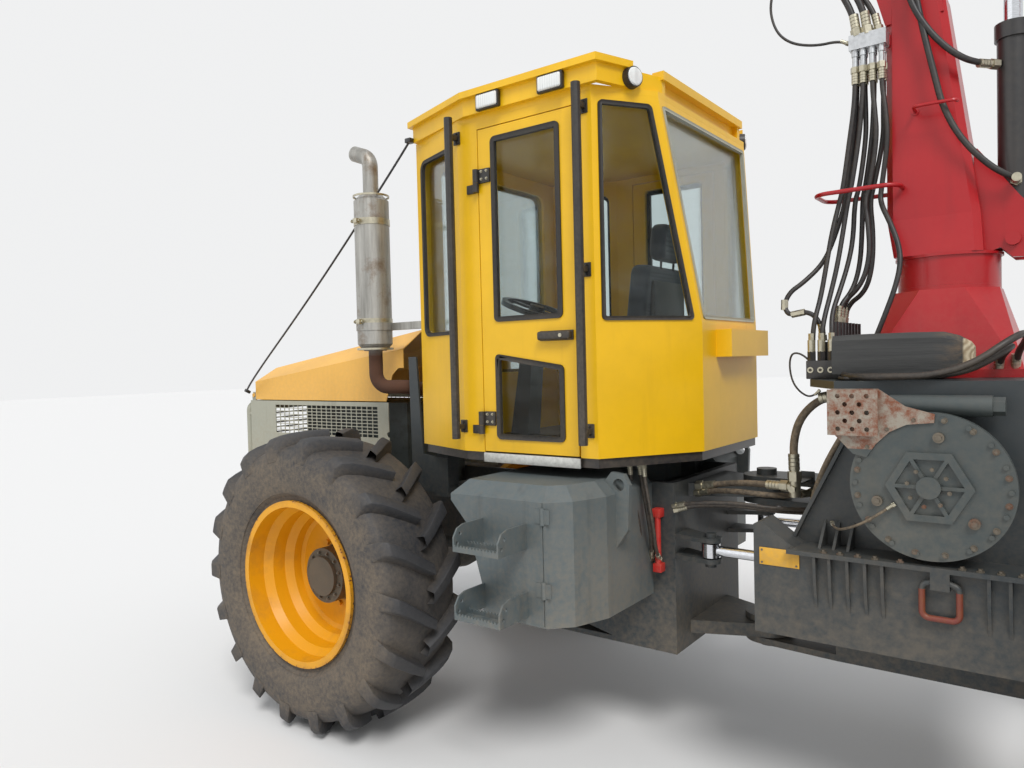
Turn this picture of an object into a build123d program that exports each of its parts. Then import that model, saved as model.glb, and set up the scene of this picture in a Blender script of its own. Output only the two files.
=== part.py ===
"""Articulated four-wheel skidder with a crane, winch and rear shield, in millimetres.

+X is forward, +Y is left and +Z is up. The origin is on the ground, under the articulation pin.
"""

import os
from math import atan, cos, degrees, hypot, radians, sin

from build123d import *

os.makedirs("parts", exist_ok=True)

# Driving sizes of the whole machine
wheelbase = 3860
overall_width = 2500
half_length = 3375

# Clearances between pieces
seat_gap = 0.3
pin_gap = 0.3
running_gap = 6

# Wheels
tyre_diameter = 1500
tyre_width = 480
lug_height = 50
crown_drop = 32
lugs_per_side = 20
tyre_facets = 20
lug_width = 44
lug_sweep = 150
rim_flange_diameter = 825
rim_flange_height = 18
rim_width = 430
rim_wall = 14
hub_diameter = 280
hub_depth = 115
dish_depth = 300

# Axles
axle_tube_diameter = 220
axle_bulge_diameter = 380
spindle_diameter = 140

# Chassis plates
frame_plate = 25
front_rail_y = 385
front_rail_bottom = 860
front_rail_top = 1130
rear_beam_y = 750
rear_beam_inner_y = 610
rear_beam_bottom = 790
rear_beam_top = 1120
rear_beam_front_x = -200
rear_arch_z = 875

tow_plate = 30
tow_hole_diameter = 36
tow_jaw_z = 930
tow_jaw_gap = 50

# Articulation joint
lug_radius = 110
pivot_pin_diameter = 90
upper_lug_z = 1205
lower_lug_z = 560
lug_thickness = 60
fork_thickness = 28

# Steering cylinders
steer_rod_x, steer_rod_y = 130, 360
steer_barrel_x, steer_barrel_y = -950, 400
steer_z = 970
steer_barrel_diameter = 90
steer_barrel_length = 620
steer_rod_diameter = 45
steer_eye_height = 60

# Engine bay
hood_half_width = 500
hood_rear_x = 1860
hood_front_x = 3250
hood_bottom_z = 1612
hood_sheet = 5
hood_hinge_x, hood_hinge_z = 3290, 1640
hood_pin_radius = 13
side_panel_rear_x = 1990
side_panel_front_x = 3310
side_panel_bottom_z = 1130
panel_sheet = 6
engine_length, engine_width, engine_height = 950, 520, 640
exhaust_x, exhaust_y = 1930, 640
muffler_diameter = 190
muffler_bottom_z, muffler_top_z = 1900, 2750
exhaust_pipe_diameter = 76

# Cab
cab_front_x, cab_front_y = 1600, 620
cab_side_front_x, cab_side_y = 1180, 780
cab_side_rear_x = 445
cab_rear_x, cab_rear_y = 160, 342
cab_floor_z, cab_wall_z = 1360, 1402
cab_rear_bend_z = 1970
cab_top_z = 2940
cab_rear_lean = 110
cab_wall = 45
roof_z = 3070
door_front_x, door_rear_x = 1060, 530
door_bottom_z, door_top_z = 1407, 2900
door_gap, door_rear_gap = 5, 9
hinge_y = cab_side_y + 16
hinge_heights = (1530, 2650)
glass_thickness = 6

# Side boxes and steps
box_front_x, box_rear_x = 1040, 400
box_outer_y = 1050
box_bottom_z, box_top_z = 740, 1310
box_bevel = 60
step_front_x, step_rear_x = 868, 632
step_outer_y = 1240
step_heights = (1060, 780)

# Winch
winch_x, winch_z = -790, 1380
winch_disc_diameter = 485
winch_disc_y = 800
winch_plate_y = 620
drum_diameter = 200
drum_flange_diameter = 420
rope_pile_diameter = 300
drum_half_length = 400

# Crane
crane_x = -750
crane_base_z = 1720
slew_ring_z, slew_ring_top_z = 2062, 2200
fixed_ring_height = 14
slew_ring_diameter = 365
manifold_z, hose_ring_z = 3060, 2480
boom_hinge_x, boom_hinge_z = -570, 3450
boom_length = 2500
boom_rise = 10
boom_pin_diameter = 80
boom_width = 150
lift_foot_x, lift_foot_z = -977, 2240
lift_eye_x, lift_eye_z = -975, 3420
lift_barrel_diameter = 110
lift_barrel_length = 830
outer_length = 1550
outer_fold = 50
outer_width = 120
extension_stroke = 900
fold_foot_along, fold_foot_up = 1350, 195
fold_heel, fold_heel_angle = 300, 145
fold_barrel_diameter = 90

# Rear shield
shield_hinge_x, shield_hinge_z = -2600, 620
shield_half_width = 1150
shield_bottom_z, shield_top_z = 400, 1250
shield_x = -3230


# Shapes used again and again

def block(x, y, z, mode=Mode.ADD):
    """A box between low and high values along each axis."""
    with Locations(((x[0] + x[1]) / 2, (y[0] + y[1]) / 2, (z[0] + z[1]) / 2)):
        Box(x[1] - x[0], y[1] - y[0], z[1] - z[0], mode=mode)


def side_plate(points, y, mode=Mode.ADD):
    """An outline of x and z points, as thick as the range y."""
    with BuildSketch(Plane.XZ.offset(-y[1])) as outline:
        Polygon(*points)
    extrude(outline.sketch, amount=y[1] - y[0], mode=mode)


def floor_plate(points, z, mode=Mode.ADD):
    """An outline of x and y points, as thick as the range z."""
    with BuildSketch(Plane.XY.offset(z[0])) as outline:
        Polygon(*points)
    extrude(outline.sketch, amount=z[1] - z[0], mode=mode)


def bar(start, end, radius, mode=Mode.ADD):
    """A round bar from one point to another."""
    run = Vector(*end) - Vector(*start)
    with BuildSketch(Plane(origin=start, z_dir=run)) as disc:
        Circle(radius)
    extrude(disc.sketch, amount=run.length, mode=mode)


def pin_y(x, z, y, radius, mode=Mode.ADD):
    """A round pin along Y."""
    bar((x, y[0], z), (x, y[1], z), radius, mode)


def pipe(points, radius, bend):
    """A round pipe along straight runs with arcs at its corners."""
    with BuildLine() as route:
        FilletPolyline(*points, radius=bend)
    with BuildSketch(Plane(origin=route.line @ 0, z_dir=route.line % 0)) as disc:
        Circle(radius)
    sweep(sections=disc.sketch, path=route.line)


def both(low, high):
    """The same range of y on the left and on the right."""
    return (low, high), (-high, -low)


def save(piece, name):
    piece.label = name
    export_step(piece, f"parts/{name}.step")


front_axle_x = wheelbase / 2
rear_axle_x = -wheelbase / 2
axle_z = tyre_diameter / 2
wheel_y = (overall_width - tyre_width) / 2

# Wheels, made on the left with their axis on Y and their outside towards +Y
bead_y = rim_width / 2 - rim_flange_height
rim_radius = rim_flange_diameter / 2 - rim_flange_height
tyre_radius = tyre_diameter / 2
carcass_radius = tyre_radius - lug_height
shoulder_y = tyre_width / 2 - 24
sidewall_radius = (rim_radius + carcass_radius) / 2

side_y = tyre_width / 2
facet_turn = 180 / tyre_facets


def tyre_ring(sections, mode=Mode.ADD):
    """A many-sided ring with flat facets, from pairs of y and corner radius."""
    outlines = []
    for y, radius in sections:
        with BuildSketch(Plane.XZ.offset(-y)) as outline:
            RegularPolygon(radius, tyre_facets, rotation=facet_turn)
        outlines.append(outline.sketch)
    loft(outlines, ruled=True, mode=mode)


with BuildPart() as tyre:
    shoulder_radius = carcass_radius - crown_drop - 24
    tyre_ring(((-side_y, shoulder_radius), (0, carcass_radius), (side_y, shoulder_radius)))
    bead_side = bead_y - seat_gap
    for side in (1, -1):
        bead_corner = rim_radius + 2 * rim_flange_height + 6
        tyre_ring(((side * bead_side, bead_corner), (side * side_y, sidewall_radius)), Mode.SUBTRACT)
    bore = (rim_radius + seat_gap) / cos(radians(facet_turn))
    tyre_ring(((-bead_y, bore), (bead_y, bore)), Mode.SUBTRACT)

# One slanting lug, on a plane that leans with the crown, from past the middle to the shoulder
lug_lean = atan((crown_drop + 6) / shoulder_y)
lug_overlap = 12
lug_top = Plane(
    origin=(0, 0, tyre_radius - lug_overlap * sin(lug_lean)),
    x_dir=(1, 0, 0),
    z_dir=(0, sin(lug_lean), cos(lug_lean)),
)
lug_reach = tyre_width / 2 - 6
half_lug = lug_width / 2
with BuildPart() as lug:
    with BuildSketch(lug_top):
        Polygon(
            (-half_lug, -lug_overlap),
            (half_lug, -lug_overlap),
            (lug_sweep + half_lug + 4, lug_reach),
            (lug_sweep - half_lug - 4, lug_reach),
        )
    extrude(amount=-lug_height - 20)

pitch = 360 / lugs_per_side
left_lugs = [lug.part.rotate(Axis.Y, pitch * i) for i in range(lugs_per_side)]
right_lug = mirror(lug.part, about=Plane.XZ)
right_lugs = [right_lug.rotate(Axis.Y, pitch * (i + 0.5)) for i in range(lugs_per_side)]
with BuildPart() as tyre_with_lugs:
    add(tyre.part.rotate(Axis.Y, 180))
    add([piece.rotate(Axis.Y, 180) for piece in left_lugs + right_lugs])

# The rim's outer side is a deep dish of stepped rings down to the hub
rim_edge = rim_width / 2
dish_y = rim_edge - dish_depth
rim_inner = rim_radius - rim_wall
with BuildPart() as rim:
    with BuildSketch(Plane.YZ):
        Polygon(
            (-rim_edge, rim_inner),
            (-rim_edge, rim_radius + rim_flange_height),
            (-bead_y, rim_radius + rim_flange_height),
            (-bead_y, rim_radius),
            (bead_y, rim_radius),
            (bead_y, rim_radius + rim_flange_height),
            (rim_edge, rim_radius + rim_flange_height),
            (rim_edge, rim_inner),
            (rim_edge - 90, rim_inner),
            (rim_edge - 130, rim_inner - 30),
            (rim_edge - 200, rim_inner - 34),
            (rim_edge - 235, rim_inner - 66),
            (dish_y + 22, rim_inner - 72),
            (dish_y + rim_wall, rim_inner - 96),
            (dish_y + rim_wall, 0),
            (dish_y, 0),
            (dish_y, rim_inner - 90),
            (rim_edge - 220, rim_inner - 20),
            (rim_edge - 220, rim_inner),
        )
    revolve(axis=Axis.Y)
    pin_y(0, 0, (dish_y - 60, dish_y + hub_depth), hub_diameter / 2)
    pin_y(0, 0, (dish_y + hub_depth, dish_y + hub_depth + 22), hub_diameter / 2 - 40)
    with Locations(Plane(origin=(0, dish_y + rim_wall, 0), z_dir=(0, 1, 0))):
        with PolarLocations(hub_diameter / 2 + 26, 12):
            Cylinder(13, 16, align=(Align.CENTER, Align.CENTER, Align.MIN))
    pin_y(0, 0, (dish_y - 60, dish_y + 40), spindle_diameter / 2 + pin_gap, Mode.SUBTRACT)

for end, x in (("front", front_axle_x), ("rear", rear_axle_x)):
    for side, name in ((1, "left"), (-1, "right")):
        for piece, kind in ((tyre_with_lugs.part, "tyre"), (rim.part, "rim")):
            sided = piece if side > 0 else mirror(piece, about=Plane.XZ)
            save(Pos(x, side * wheel_y, axle_z) * sided, f"{kind}_{end}_{name}")

# Axles: a tube with a round middle housing, flanged ends, spindles and mounting pads
hub_inner_y = wheel_y + dish_y - 60
spindle_end_y = wheel_y + dish_y + 40 - running_gap
for end, x, pad_y, pad_top in (
    ("front", front_axle_x, front_rail_y, front_rail_bottom),
    ("rear", rear_axle_x, rear_beam_inner_y + 10, rear_arch_z),
):
    with BuildPart() as axle:
        with BuildSketch(Plane.YZ):
            with BuildLine():
                Polyline(
                    (0, axle_bulge_diameter / 2),
                    (90, axle_bulge_diameter / 2 - 12),
                    (210, axle_tube_diameter / 2),
                    (hub_inner_y - 130, axle_tube_diameter / 2),
                    (hub_inner_y - 60, axle_tube_diameter / 2 + 35),
                    (hub_inner_y - seat_gap, axle_tube_diameter / 2 + 35),
                    (hub_inner_y - seat_gap, spindle_diameter / 2),
                    (spindle_end_y, spindle_diameter / 2),
                    (spindle_end_y, 0),
                    (0, 0),
                    (0, axle_bulge_diameter / 2),
                )
            make_face()
            mirror(about=Plane.YZ)
        revolve(axis=Axis.Y)
        for y in both(pad_y - 120, pad_y - 10):
            block((-90, 90), y, (0, pad_top - axle_z - seat_gap))
    save(Pos(x, 0, axle_z) * axle.part, f"{end}_axle")

# Front chassis: two rails, cross plates and the single lugs of the articulation
rail_inner_y = front_rail_y - frame_plate
back_plate_x = 290
with BuildPart() as front_chassis:
    for y in both(rail_inner_y, front_rail_y):
        side_plate(
            (
                (back_plate_x, lower_lug_z - 60),
                (back_plate_x, upper_lug_z + 50),
                (back_plate_x + 160, upper_lug_z + 50),
                (back_plate_x + 320, front_rail_top),
                (half_length - 145, front_rail_top),
                (half_length - 145, front_rail_bottom),
                (front_axle_x - 500, front_rail_bottom),
                (front_axle_x - 760, lower_lug_z + 60),
                (back_plate_x + 330, lower_lug_z - 60),
            ),
            y,
        )
    for y in both(rail_inner_y - 110, rail_inner_y):
        block((front_axle_x - 110, front_axle_x + 110), y, (front_rail_bottom, front_rail_bottom + 30))
    full_y = -front_rail_y, front_rail_y
    block((back_plate_x, back_plate_x + 40), full_y, (lower_lug_z - 60, upper_lug_z + 50))
    block((back_plate_x, front_axle_x - 760), full_y, (lower_lug_z - 85, lower_lug_z - 60))
    for x, top in (
        (front_axle_x - 420, front_rail_top - 20),
        (front_axle_x + 420, front_rail_bottom + 80),
        (half_length - 185, front_rail_top - 20),
    ):
        block((x, x + 40), (-rail_inner_y, rail_inner_y), (front_rail_bottom + 20, top))
    for z in (lower_lug_z, upper_lug_z):
        with BuildSketch(Plane.XY.offset(z - lug_thickness / 2)) as lug_outline:
            Circle(lug_radius)
            Polygon((0, -lug_radius), (back_plate_x, -230), (back_plate_x, 230), (0, lug_radius))
            Circle(pivot_pin_diameter / 2 + pin_gap, mode=Mode.SUBTRACT)
        extrude(lug_outline.sketch, amount=lug_thickness)
    # Ears that hold the steering rods' eyes from above and below
    for side in (1, -1):
        ear_reach = steer_eye_height / 2 + running_gap
        for z in (steer_z - ear_reach - 20, steer_z + ear_reach):
            with BuildSketch(Plane.XY.offset(z)) as ear:
                with Locations((steer_rod_x, side * steer_rod_y)):
                    Circle(46)
                Polygon(
                    (steer_rod_x, side * (steer_rod_y - 46)),
                    (back_plate_x, side * (steer_rod_y - 120)),
                    (back_plate_x, side * front_rail_y),
                    (steer_rod_x, side * (steer_rod_y + 46)),
                )
            extrude(ear.sketch, amount=20)
        for z in (steer_z - 74, steer_z + 56):
            bar((steer_rod_x, side * steer_rod_y, z), (steer_rod_x, side * steer_rod_y, z + 18), 26)
    # Carriers under the cab
    for x, reach in ((480, front_rail_y), (1440, cab_front_y)):
        block((x, x + 90), (-reach, reach), (front_rail_top, front_rail_top + 50))
        for y in both(reach - 90, reach - 10):
            block((x + 5, x + 85), y, (front_rail_top + 50, cab_floor_z - seat_gap))
    # Plates behind the front wheels, in front of the cab's corners
    for y in both(cab_front_y - 12, cab_front_y):
        side_plate(((1440, 1150), (1440, 1330), (1612, 1345), (1645, 1860), (1700, 1860), (1690, 1150)), y)
    # Nose: a cross plate with a bent guard bar in front of the radiator
    nose_x = half_length - 145
    nose_y = -hood_half_width, hood_half_width
    block((nose_x, nose_x + 20), nose_y, (front_rail_bottom, side_panel_bottom_z))
    for y in both(hood_half_width - 60, hood_half_width - panel_sheet - seat_gap):
        block((nose_x - 60, nose_x), y, (front_rail_top - 60, side_panel_bottom_z + 70))
    # Tow jaw at the nose
    for z in (tow_jaw_z, tow_jaw_z + tow_plate + tow_jaw_gap):
        block((nose_x + 20, nose_x + 110), (-70, 70), (z, z + tow_plate))
    tow_low, tow_high = (nose_x + 70, 0, tow_jaw_z - 30), (nose_x + 70, 0, tow_jaw_z + 130)
    bar(tow_low, tow_high, tow_hole_diameter / 2, Mode.SUBTRACT)
save(front_chassis.part, "front_chassis")

# Engine, one plain mass on mounting feet between the rails
with BuildPart() as engine:
    engine_rear_x = 2080
    engine_z = front_rail_bottom + 90
    block(
        (engine_rear_x, engine_rear_x + engine_length),
        (-engine_width / 2, engine_width / 2),
        (engine_z, engine_z + engine_height),
    )
    for y in both(engine_width / 2, rail_inner_y - seat_gap):
        for x in (engine_rear_x + 120, engine_rear_x + engine_length - 200):
            block((x, x + 80), y, (engine_z + 60, engine_z + 130))
save(engine.part, "engine_block")

# Grey panels along the engine with a grille window, and the round-cornered guard in front
panel_top_z = hood_bottom_z - running_gap
grille_low_z, grille_high_z = 1400, 1580
grille_rear_x, grille_front_x = 2080, 3040
guard_radius = 21
guard_x = half_length - guard_radius
with BuildPart() as side_panels:
    for side in (1, -1):
        y = sorted((side * (hood_half_width - panel_sheet), side * hood_half_width))
        side_plate(
            (
                (side_panel_rear_x, side_panel_bottom_z),
                (side_panel_rear_x, panel_top_z),
                (side_panel_front_x, panel_top_z),
                (side_panel_front_x, side_panel_bottom_z),
            ),
            y,
        )
        block((grille_rear_x, grille_front_x), y, (grille_low_z, grille_high_z), Mode.SUBTRACT)
        # Grille of crossed wires
        bars_along = 21
        bars_up = 9
        step = (grille_front_x - grille_rear_x) / bars_along
        wire_y = sorted((side * (hood_half_width - 5), side * (hood_half_width - 1)))
        for i in range(1, bars_along):
            x = grille_rear_x + i * step
            block((x - 2.5, x + 2.5), wire_y, (grille_low_z, grille_high_z))
        for i in range(1, bars_up):
            z = grille_low_z + i * (grille_high_z - grille_low_z) / bars_up
            block((grille_rear_x, grille_front_x), wire_y, (z - 2.5, z + 2.5))
        for z in (1300, 1360, 1420):
            pin_y(side_panel_rear_x, z, (y[0] - 1, y[1] + 1), 17, Mode.SUBTRACT)
    # Radiator frame and the bars in front of it
    frame_x = side_panel_front_x - 30, side_panel_front_x
    window_y = -hood_half_width + 60, hood_half_width - 60
    block(frame_x, (-hood_half_width, hood_half_width), (side_panel_bottom_z, panel_top_z))
    block(frame_x, window_y, (side_panel_bottom_z + 60, panel_top_z - 60), Mode.SUBTRACT)
    for i in range(11):
        z = side_panel_bottom_z + 80 + i * 33
        block((side_panel_front_x - 22, side_panel_front_x - 8), window_y, (z, z + 9))
    # Ears beside the hood's hinge pins
    for y in both(hood_half_width - 24, hood_half_width - 14):
        side_plate(
            (
                (hood_hinge_x - 20, panel_top_z - 30),
                (hood_hinge_x - 20, hood_hinge_z),
                (hood_hinge_x - 8, hood_hinge_z + 22),
                (hood_hinge_x + 8, hood_hinge_z + 22),
                (hood_hinge_x + 20, hood_hinge_z),
                (hood_hinge_x + 20, panel_top_z - 30),
            ),
            y,
        )
        pin_y(hood_hinge_x, hood_hinge_z, (y[0] - 5, y[1] + 5), hood_pin_radius + pin_gap, Mode.SUBTRACT)
    pipe(
        (
            (side_panel_front_x - 15, hood_half_width - 22, side_panel_bottom_z + 60),
            (guard_x, hood_half_width - 22, side_panel_bottom_z + 60),
            (guard_x, hood_half_width - 22, panel_top_z - 30),
            (guard_x, -hood_half_width + 22, panel_top_z - 30),
            (guard_x, -hood_half_width + 22, side_panel_bottom_z + 60),
            (side_panel_front_x - 15, -hood_half_width + 22, side_panel_bottom_z + 60),
        ),
        guard_radius,
        40,
    )
    for side in (1, -1):
        bar(
            (side_panel_front_x - 15, side * (hood_half_width - 22), panel_top_z - 90),
            (guard_x, side * (hood_half_width - 22), panel_top_z - 90),
            14,
        )
save(side_panels.part, "engine_side_panels")

# Hood: a folded sheet with bevelled edges, higher at the back, open below
hood_sections = (  # x, height of the bevel's lower edge, height of the top
    (hood_rear_x, 1910, 2020),
    (hood_front_x, 1730, 1820),
)
bevel_inset = 170


def hood_outline(x, bevel_z, top_z, inset):
    with BuildSketch(Plane.YZ.offset(x)) as outline:
        half = hood_half_width - inset
        Polygon(
            (-half, hood_bottom_z - inset),
            (half, hood_bottom_z - inset),
            (half, bevel_z - 0.6 * inset),
            (hood_half_width - bevel_inset, top_z - inset),
            (-hood_half_width + bevel_inset, top_z - inset),
            (-half, bevel_z - 0.6 * inset),
        )
    return outline.sketch


with BuildPart() as hood:
    loft([hood_outline(*section, 0) for section in hood_sections], ruled=True)
    # The notch at the lower rear corner leaves room for the exhaust pipe
    side_plate(
        (
            (hood_rear_x - 10, hood_bottom_z - 10),
            (hood_rear_x + 150, hood_bottom_z - 10),
            (hood_rear_x + 90, hood_bottom_z + 150),
            (hood_rear_x + 40, hood_bottom_z + 190),
            (hood_rear_x - 10, hood_bottom_z + 190),
        ),
        (250, hood_half_width + 10),
        Mode.SUBTRACT,
    )
    inner = [
        hood_outline(x + shift, bevel_z, top_z, hood_sheet)
        for (x, bevel_z, top_z), shift in zip(hood_sections, (-1, -hood_sheet))
    ]
    loft(inner, ruled=True, mode=Mode.SUBTRACT)
    for side in (1, -1):
        y = sorted((side * (hood_half_width - 40), side * (hood_half_width - 26)))
        side_plate(
            (
                (hood_front_x - 120, hood_bottom_z + 8),
                (hood_front_x - 120, hood_bottom_z + 90),
                (hood_hinge_x + 18, hood_hinge_z + 16),
                (hood_hinge_x + 18, hood_hinge_z - 16),
            ),
            y,
        )
        y = sorted((side * (hood_half_width - 50), side * (hood_half_width - 8)))
        pin_y(hood_hinge_x, hood_hinge_z, y, hood_pin_radius)
save(hood.part, "hood")

# Exhaust: muffler with an elbow on top, a pipe below and an arm to the cab
muffler_radius = muffler_diameter / 2
with BuildPart() as exhaust:
    with BuildSketch(Plane.XZ):
        Polygon(
            (0, muffler_bottom_z),
            (muffler_radius - 34, muffler_bottom_z),
            (muffler_radius, muffler_bottom_z + 36),
            (muffler_radius, muffler_top_z - 36),
            (muffler_radius - 34, muffler_top_z),
            (0, muffler_top_z),
        )
    revolve(axis=Axis.Z)
exhaust_arm_z = 2010
with BuildPart() as exhaust_stack:
    add(Pos(exhaust_x, exhaust_y, 0) * exhaust.part)
    pipe(
        (
            (exhaust_x, exhaust_y, muffler_top_z - 10),
            (exhaust_x, exhaust_y, muffler_top_z + 200),
            (exhaust_x + 120, exhaust_y, muffler_top_z + 245),
        ),
        exhaust_pipe_diameter / 2 + 4,
        70,
    )
    pipe(
        (
            (exhaust_x, exhaust_y, muffler_bottom_z + 10),
            (exhaust_x, exhaust_y, 1700),
            (exhaust_x - 170, exhaust_y - 60, 1700),
            (exhaust_x - 170, exhaust_y - 340, 1660),
        ),
        exhaust_pipe_diameter / 2,
        75,
    )
    # Clamp band and the arm that reaches back to the cab's front wall
    arm_top_z = exhaust_arm_z + 40
    bar((exhaust_x, exhaust_y, exhaust_arm_z), (exhaust_x, exhaust_y, arm_top_z), muffler_radius + 5)
    arm_inner_y = exhaust_y - 75
    block((cab_front_x + 20, exhaust_x), (arm_inner_y, arm_inner_y + 30), (exhaust_arm_z, arm_top_z))
    block(
        (cab_front_x + seat_gap, cab_front_x + 20),
        (arm_inner_y - 20, arm_inner_y + 30),
        (exhaust_arm_z - 20, exhaust_arm_z + 60),
    )
save(exhaust_stack.part, "exhaust")

# Cab walls follow one plan outline, listed along the left side from the front
cab_plan = (
    (cab_front_x, cab_front_y),
    (cab_side_front_x, cab_side_y),
    (cab_side_rear_x, cab_side_y),
    (cab_rear_x, cab_rear_y),
)


def whole_plan(half_plan):
    return (*half_plan, *((x, -y) for x, y in reversed(half_plan)))


def plan_prism(half_plan, z, inset=0, mode=Mode.ADD):
    with BuildSketch(Plane.XY.offset(z[0])) as outline:
        Polygon(*whole_plan(half_plan))
        if inset:
            offset(amount=-inset, kind=Kind.INTERSECTION, mode=Mode.REPLACE)
    extrude(outline.sketch, amount=z[1] - z[0], mode=mode)


def wall_frame(start, end):
    """A plane on a wall from one plan corner to the next: x along it, y up, z into the cab."""
    run = Vector(end[0] - start[0], end[1] - start[1])
    return Plane(origin=(start[0], start[1], 0), x_dir=run, z_dir=Vector(run.Y, -run.X))


front_chamfer = wall_frame(cab_plan[1], cab_plan[0])
side_wall = wall_frame((0, cab_side_y), (1, cab_side_y))
rear_chamfer = wall_frame(cab_plan[3], cab_plan[2])
front_wall = wall_frame((cab_front_x, 0), (cab_front_x, -1))
front_chamfer_length = hypot(cab_front_x - cab_side_front_x, cab_side_y - cab_front_y)
rear_chamfer_length = hypot(cab_side_rear_x - cab_rear_x, cab_side_y - cab_rear_y)
lean_angle = degrees(atan(cab_rear_lean / (cab_top_z - cab_rear_bend_z)))
rear_wall = Plane(
    origin=(cab_rear_x, 0, cab_rear_bend_z),
    x_dir=(0, 1, 0),
    z_dir=(cos(radians(lean_angle)), 0, -sin(radians(lean_angle))),
)
rear_height = hypot(cab_top_z - cab_rear_bend_z, cab_rear_lean)
rear_top_y = cab_rear_y + cab_rear_lean * (cab_side_y - cab_rear_y) / (cab_side_rear_x - cab_rear_x)
post = 55
chamfer_lean = cab_rear_lean / (cab_side_rear_x - cab_rear_x) * rear_chamfer_length

# Window outlines on those planes: plane, corner radius, points
windows = (
    (front_wall, 60, ((-480, 1760), (480, 1760), (480, 2860), (-480, 2860))),
    (
        front_chamfer,
        50,
        (
            (post, 1960),
            (front_chamfer_length - post, 1960),
            (front_chamfer_length - post, 2860),
            (post, 2860),
        ),
    ),
    (
        rear_chamfer,
        22,
        (
            (40, 1985),
            (rear_chamfer_length - 30, 1985),
            (rear_chamfer_length - 30, 2905),
            (chamfer_lean + 36, 2905),
        ),
    ),
    (
        rear_wall,
        12,
        (
            (-cab_rear_y + 20, 20),
            (cab_rear_y - 20, 20),
            (rear_top_y - 26, rear_height - 30),
            (-rear_top_y + 26, rear_height - 30),
        ),
    ),
)


def window_sketch(plane, radius, points, shrink=0):
    with BuildSketch(plane) as outline:
        Polygon(*points)
        fillet(outline.vertices(), radius)
        if shrink:
            offset(amount=-shrink, mode=Mode.REPLACE)
    return outline.sketch


def right_plane(plane):
    """The same wall on the right side."""
    mirrored_x = Vector(plane.x_dir.X, -plane.x_dir.Y, plane.x_dir.Z)
    mirrored_z = Vector(plane.z_dir.X, -plane.z_dir.Y, plane.z_dir.Z)
    origin = Vector(plane.origin.X, -plane.origin.Y, plane.origin.Z)
    return Plane(origin=origin, x_dir=-mirrored_x, z_dir=mirrored_z)


def both_sides(window):
    """A window's outline, and its mirror image where it is on one side only."""
    plane, radius, points = window
    if abs(plane.z_dir.Y) < 0.01:
        return [window]
    return [window, (right_plane(plane), radius, tuple((-x, y) for x, y in points))]


lean_cut = (
    (cab_rear_x - 200, cab_rear_bend_z),
    (cab_rear_x, cab_rear_bend_z),
    (cab_rear_x + cab_rear_lean, cab_top_z),
    (cab_rear_x + cab_rear_lean, cab_top_z + 300),
    (cab_rear_x - 200, cab_top_z + 300),
)
lean_shift = cab_wall / cos(radians(lean_angle))
with BuildPart() as cab_shell:
    plan_prism(cab_plan, (cab_wall_z, cab_top_z))
    side_plate(lean_cut, (-900, 900), Mode.SUBTRACT)
    with BuildPart(mode=Mode.PRIVATE) as cab_room:
        plan_prism(cab_plan, (cab_wall_z - 1, cab_top_z + 1), cab_wall)
        side_plate([(x + lean_shift, z) for x, z in lean_cut], (-900, 900), Mode.SUBTRACT)
    add(cab_room.part, mode=Mode.SUBTRACT)
    for y in both(cab_side_y - cab_wall - 5, cab_side_y + 5):
        block((door_rear_x, door_front_x), y, (cab_wall_z - 1, door_top_z), Mode.SUBTRACT)
    for window in windows:
        for plane, radius, points in both_sides(window):
            window_hole = window_sketch(plane, radius, points)
            extrude(window_hole, amount=cab_wall + 30, both=True, mode=Mode.SUBTRACT)
    # Lamp box low on the rear wall, left of the middle
    block((cab_rear_x - 75, cab_rear_x), (-300, 190), (1820, 1945))
    # Knuckles that carry the doors' hinge pins
    for side in (1, -1):
        for z in hinge_heights:
            bar((door_front_x, side * hinge_y, z - 40), (door_front_x, side * hinge_y, z - seat_gap), 12)
            y = sorted((side * cab_side_y, side * (cab_side_y + 8)))
            block((door_front_x, door_front_x + 60), y, (z - 40, z - seat_gap))
save(cab_shell.part, "cab_shell")

with BuildPart() as cab_glass:
    for window in windows:
        for plane, radius, points in both_sides(window):
            inset_plane = plane.offset(cab_wall / 2)
            extrude(window_sketch(inset_plane, radius, points, seat_gap), amount=glass_thickness)
save(cab_glass.part, "cab_glass")

with BuildPart() as cab_floor:
    plan_prism(cab_plan, (cab_floor_z, cab_wall_z - seat_gap), 12)
    for y in both(cab_side_y - 30, cab_side_y + 4):
        block((door_rear_x, door_front_x), y, (cab_floor_z + 6, cab_wall_z - seat_gap))
save(cab_floor.part, "cab_floor")

# Doors, hinged at their front edge outside the wall
window_rear_x, window_front_x = door_rear_x + 75, door_front_x - 80
door_upper = ((window_rear_x, 2005), (window_front_x, 2005), (window_front_x, 2850), (window_rear_x, 2850))
door_lower = ((window_rear_x, 1465), (window_front_x, 1465), (window_front_x, 1860), (window_rear_x, 1800))
with BuildPart() as door:
    block(
        (door_rear_x + door_rear_gap, door_front_x - door_gap),
        (cab_side_y - cab_wall, cab_side_y),
        (door_bottom_z, door_top_z - door_gap),
    )
    for points in (door_upper, door_lower):
        extrude(window_sketch(side_wall, 25, points), amount=cab_wall + 5, both=True, mode=Mode.SUBTRACT)
    for z in hinge_heights:
        bar((door_front_x, hinge_y, z), (door_front_x, hinge_y, z + 60), 12)
        block((door_front_x - 70, door_front_x), (cab_side_y, cab_side_y + 8), (z, z + 60))
    # Handle
    block((door_rear_x + 30, door_rear_x + 190), (cab_side_y, cab_side_y + 34), (1915, 1945))
with BuildPart() as door_glass:
    for points in (door_upper, door_lower):
        sketch = window_sketch(side_wall.offset(cab_wall / 2), 25, points, seat_gap)
        extrude(sketch, amount=glass_thickness)
for side, name in ((1, "left"), (-1, "right")):
    for piece, kind in ((door.part, "door"), (door_glass.part, "door_glass")):
        save(piece if side > 0 else mirror(piece, about=Plane.XZ), f"{kind}_{name}")

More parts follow.
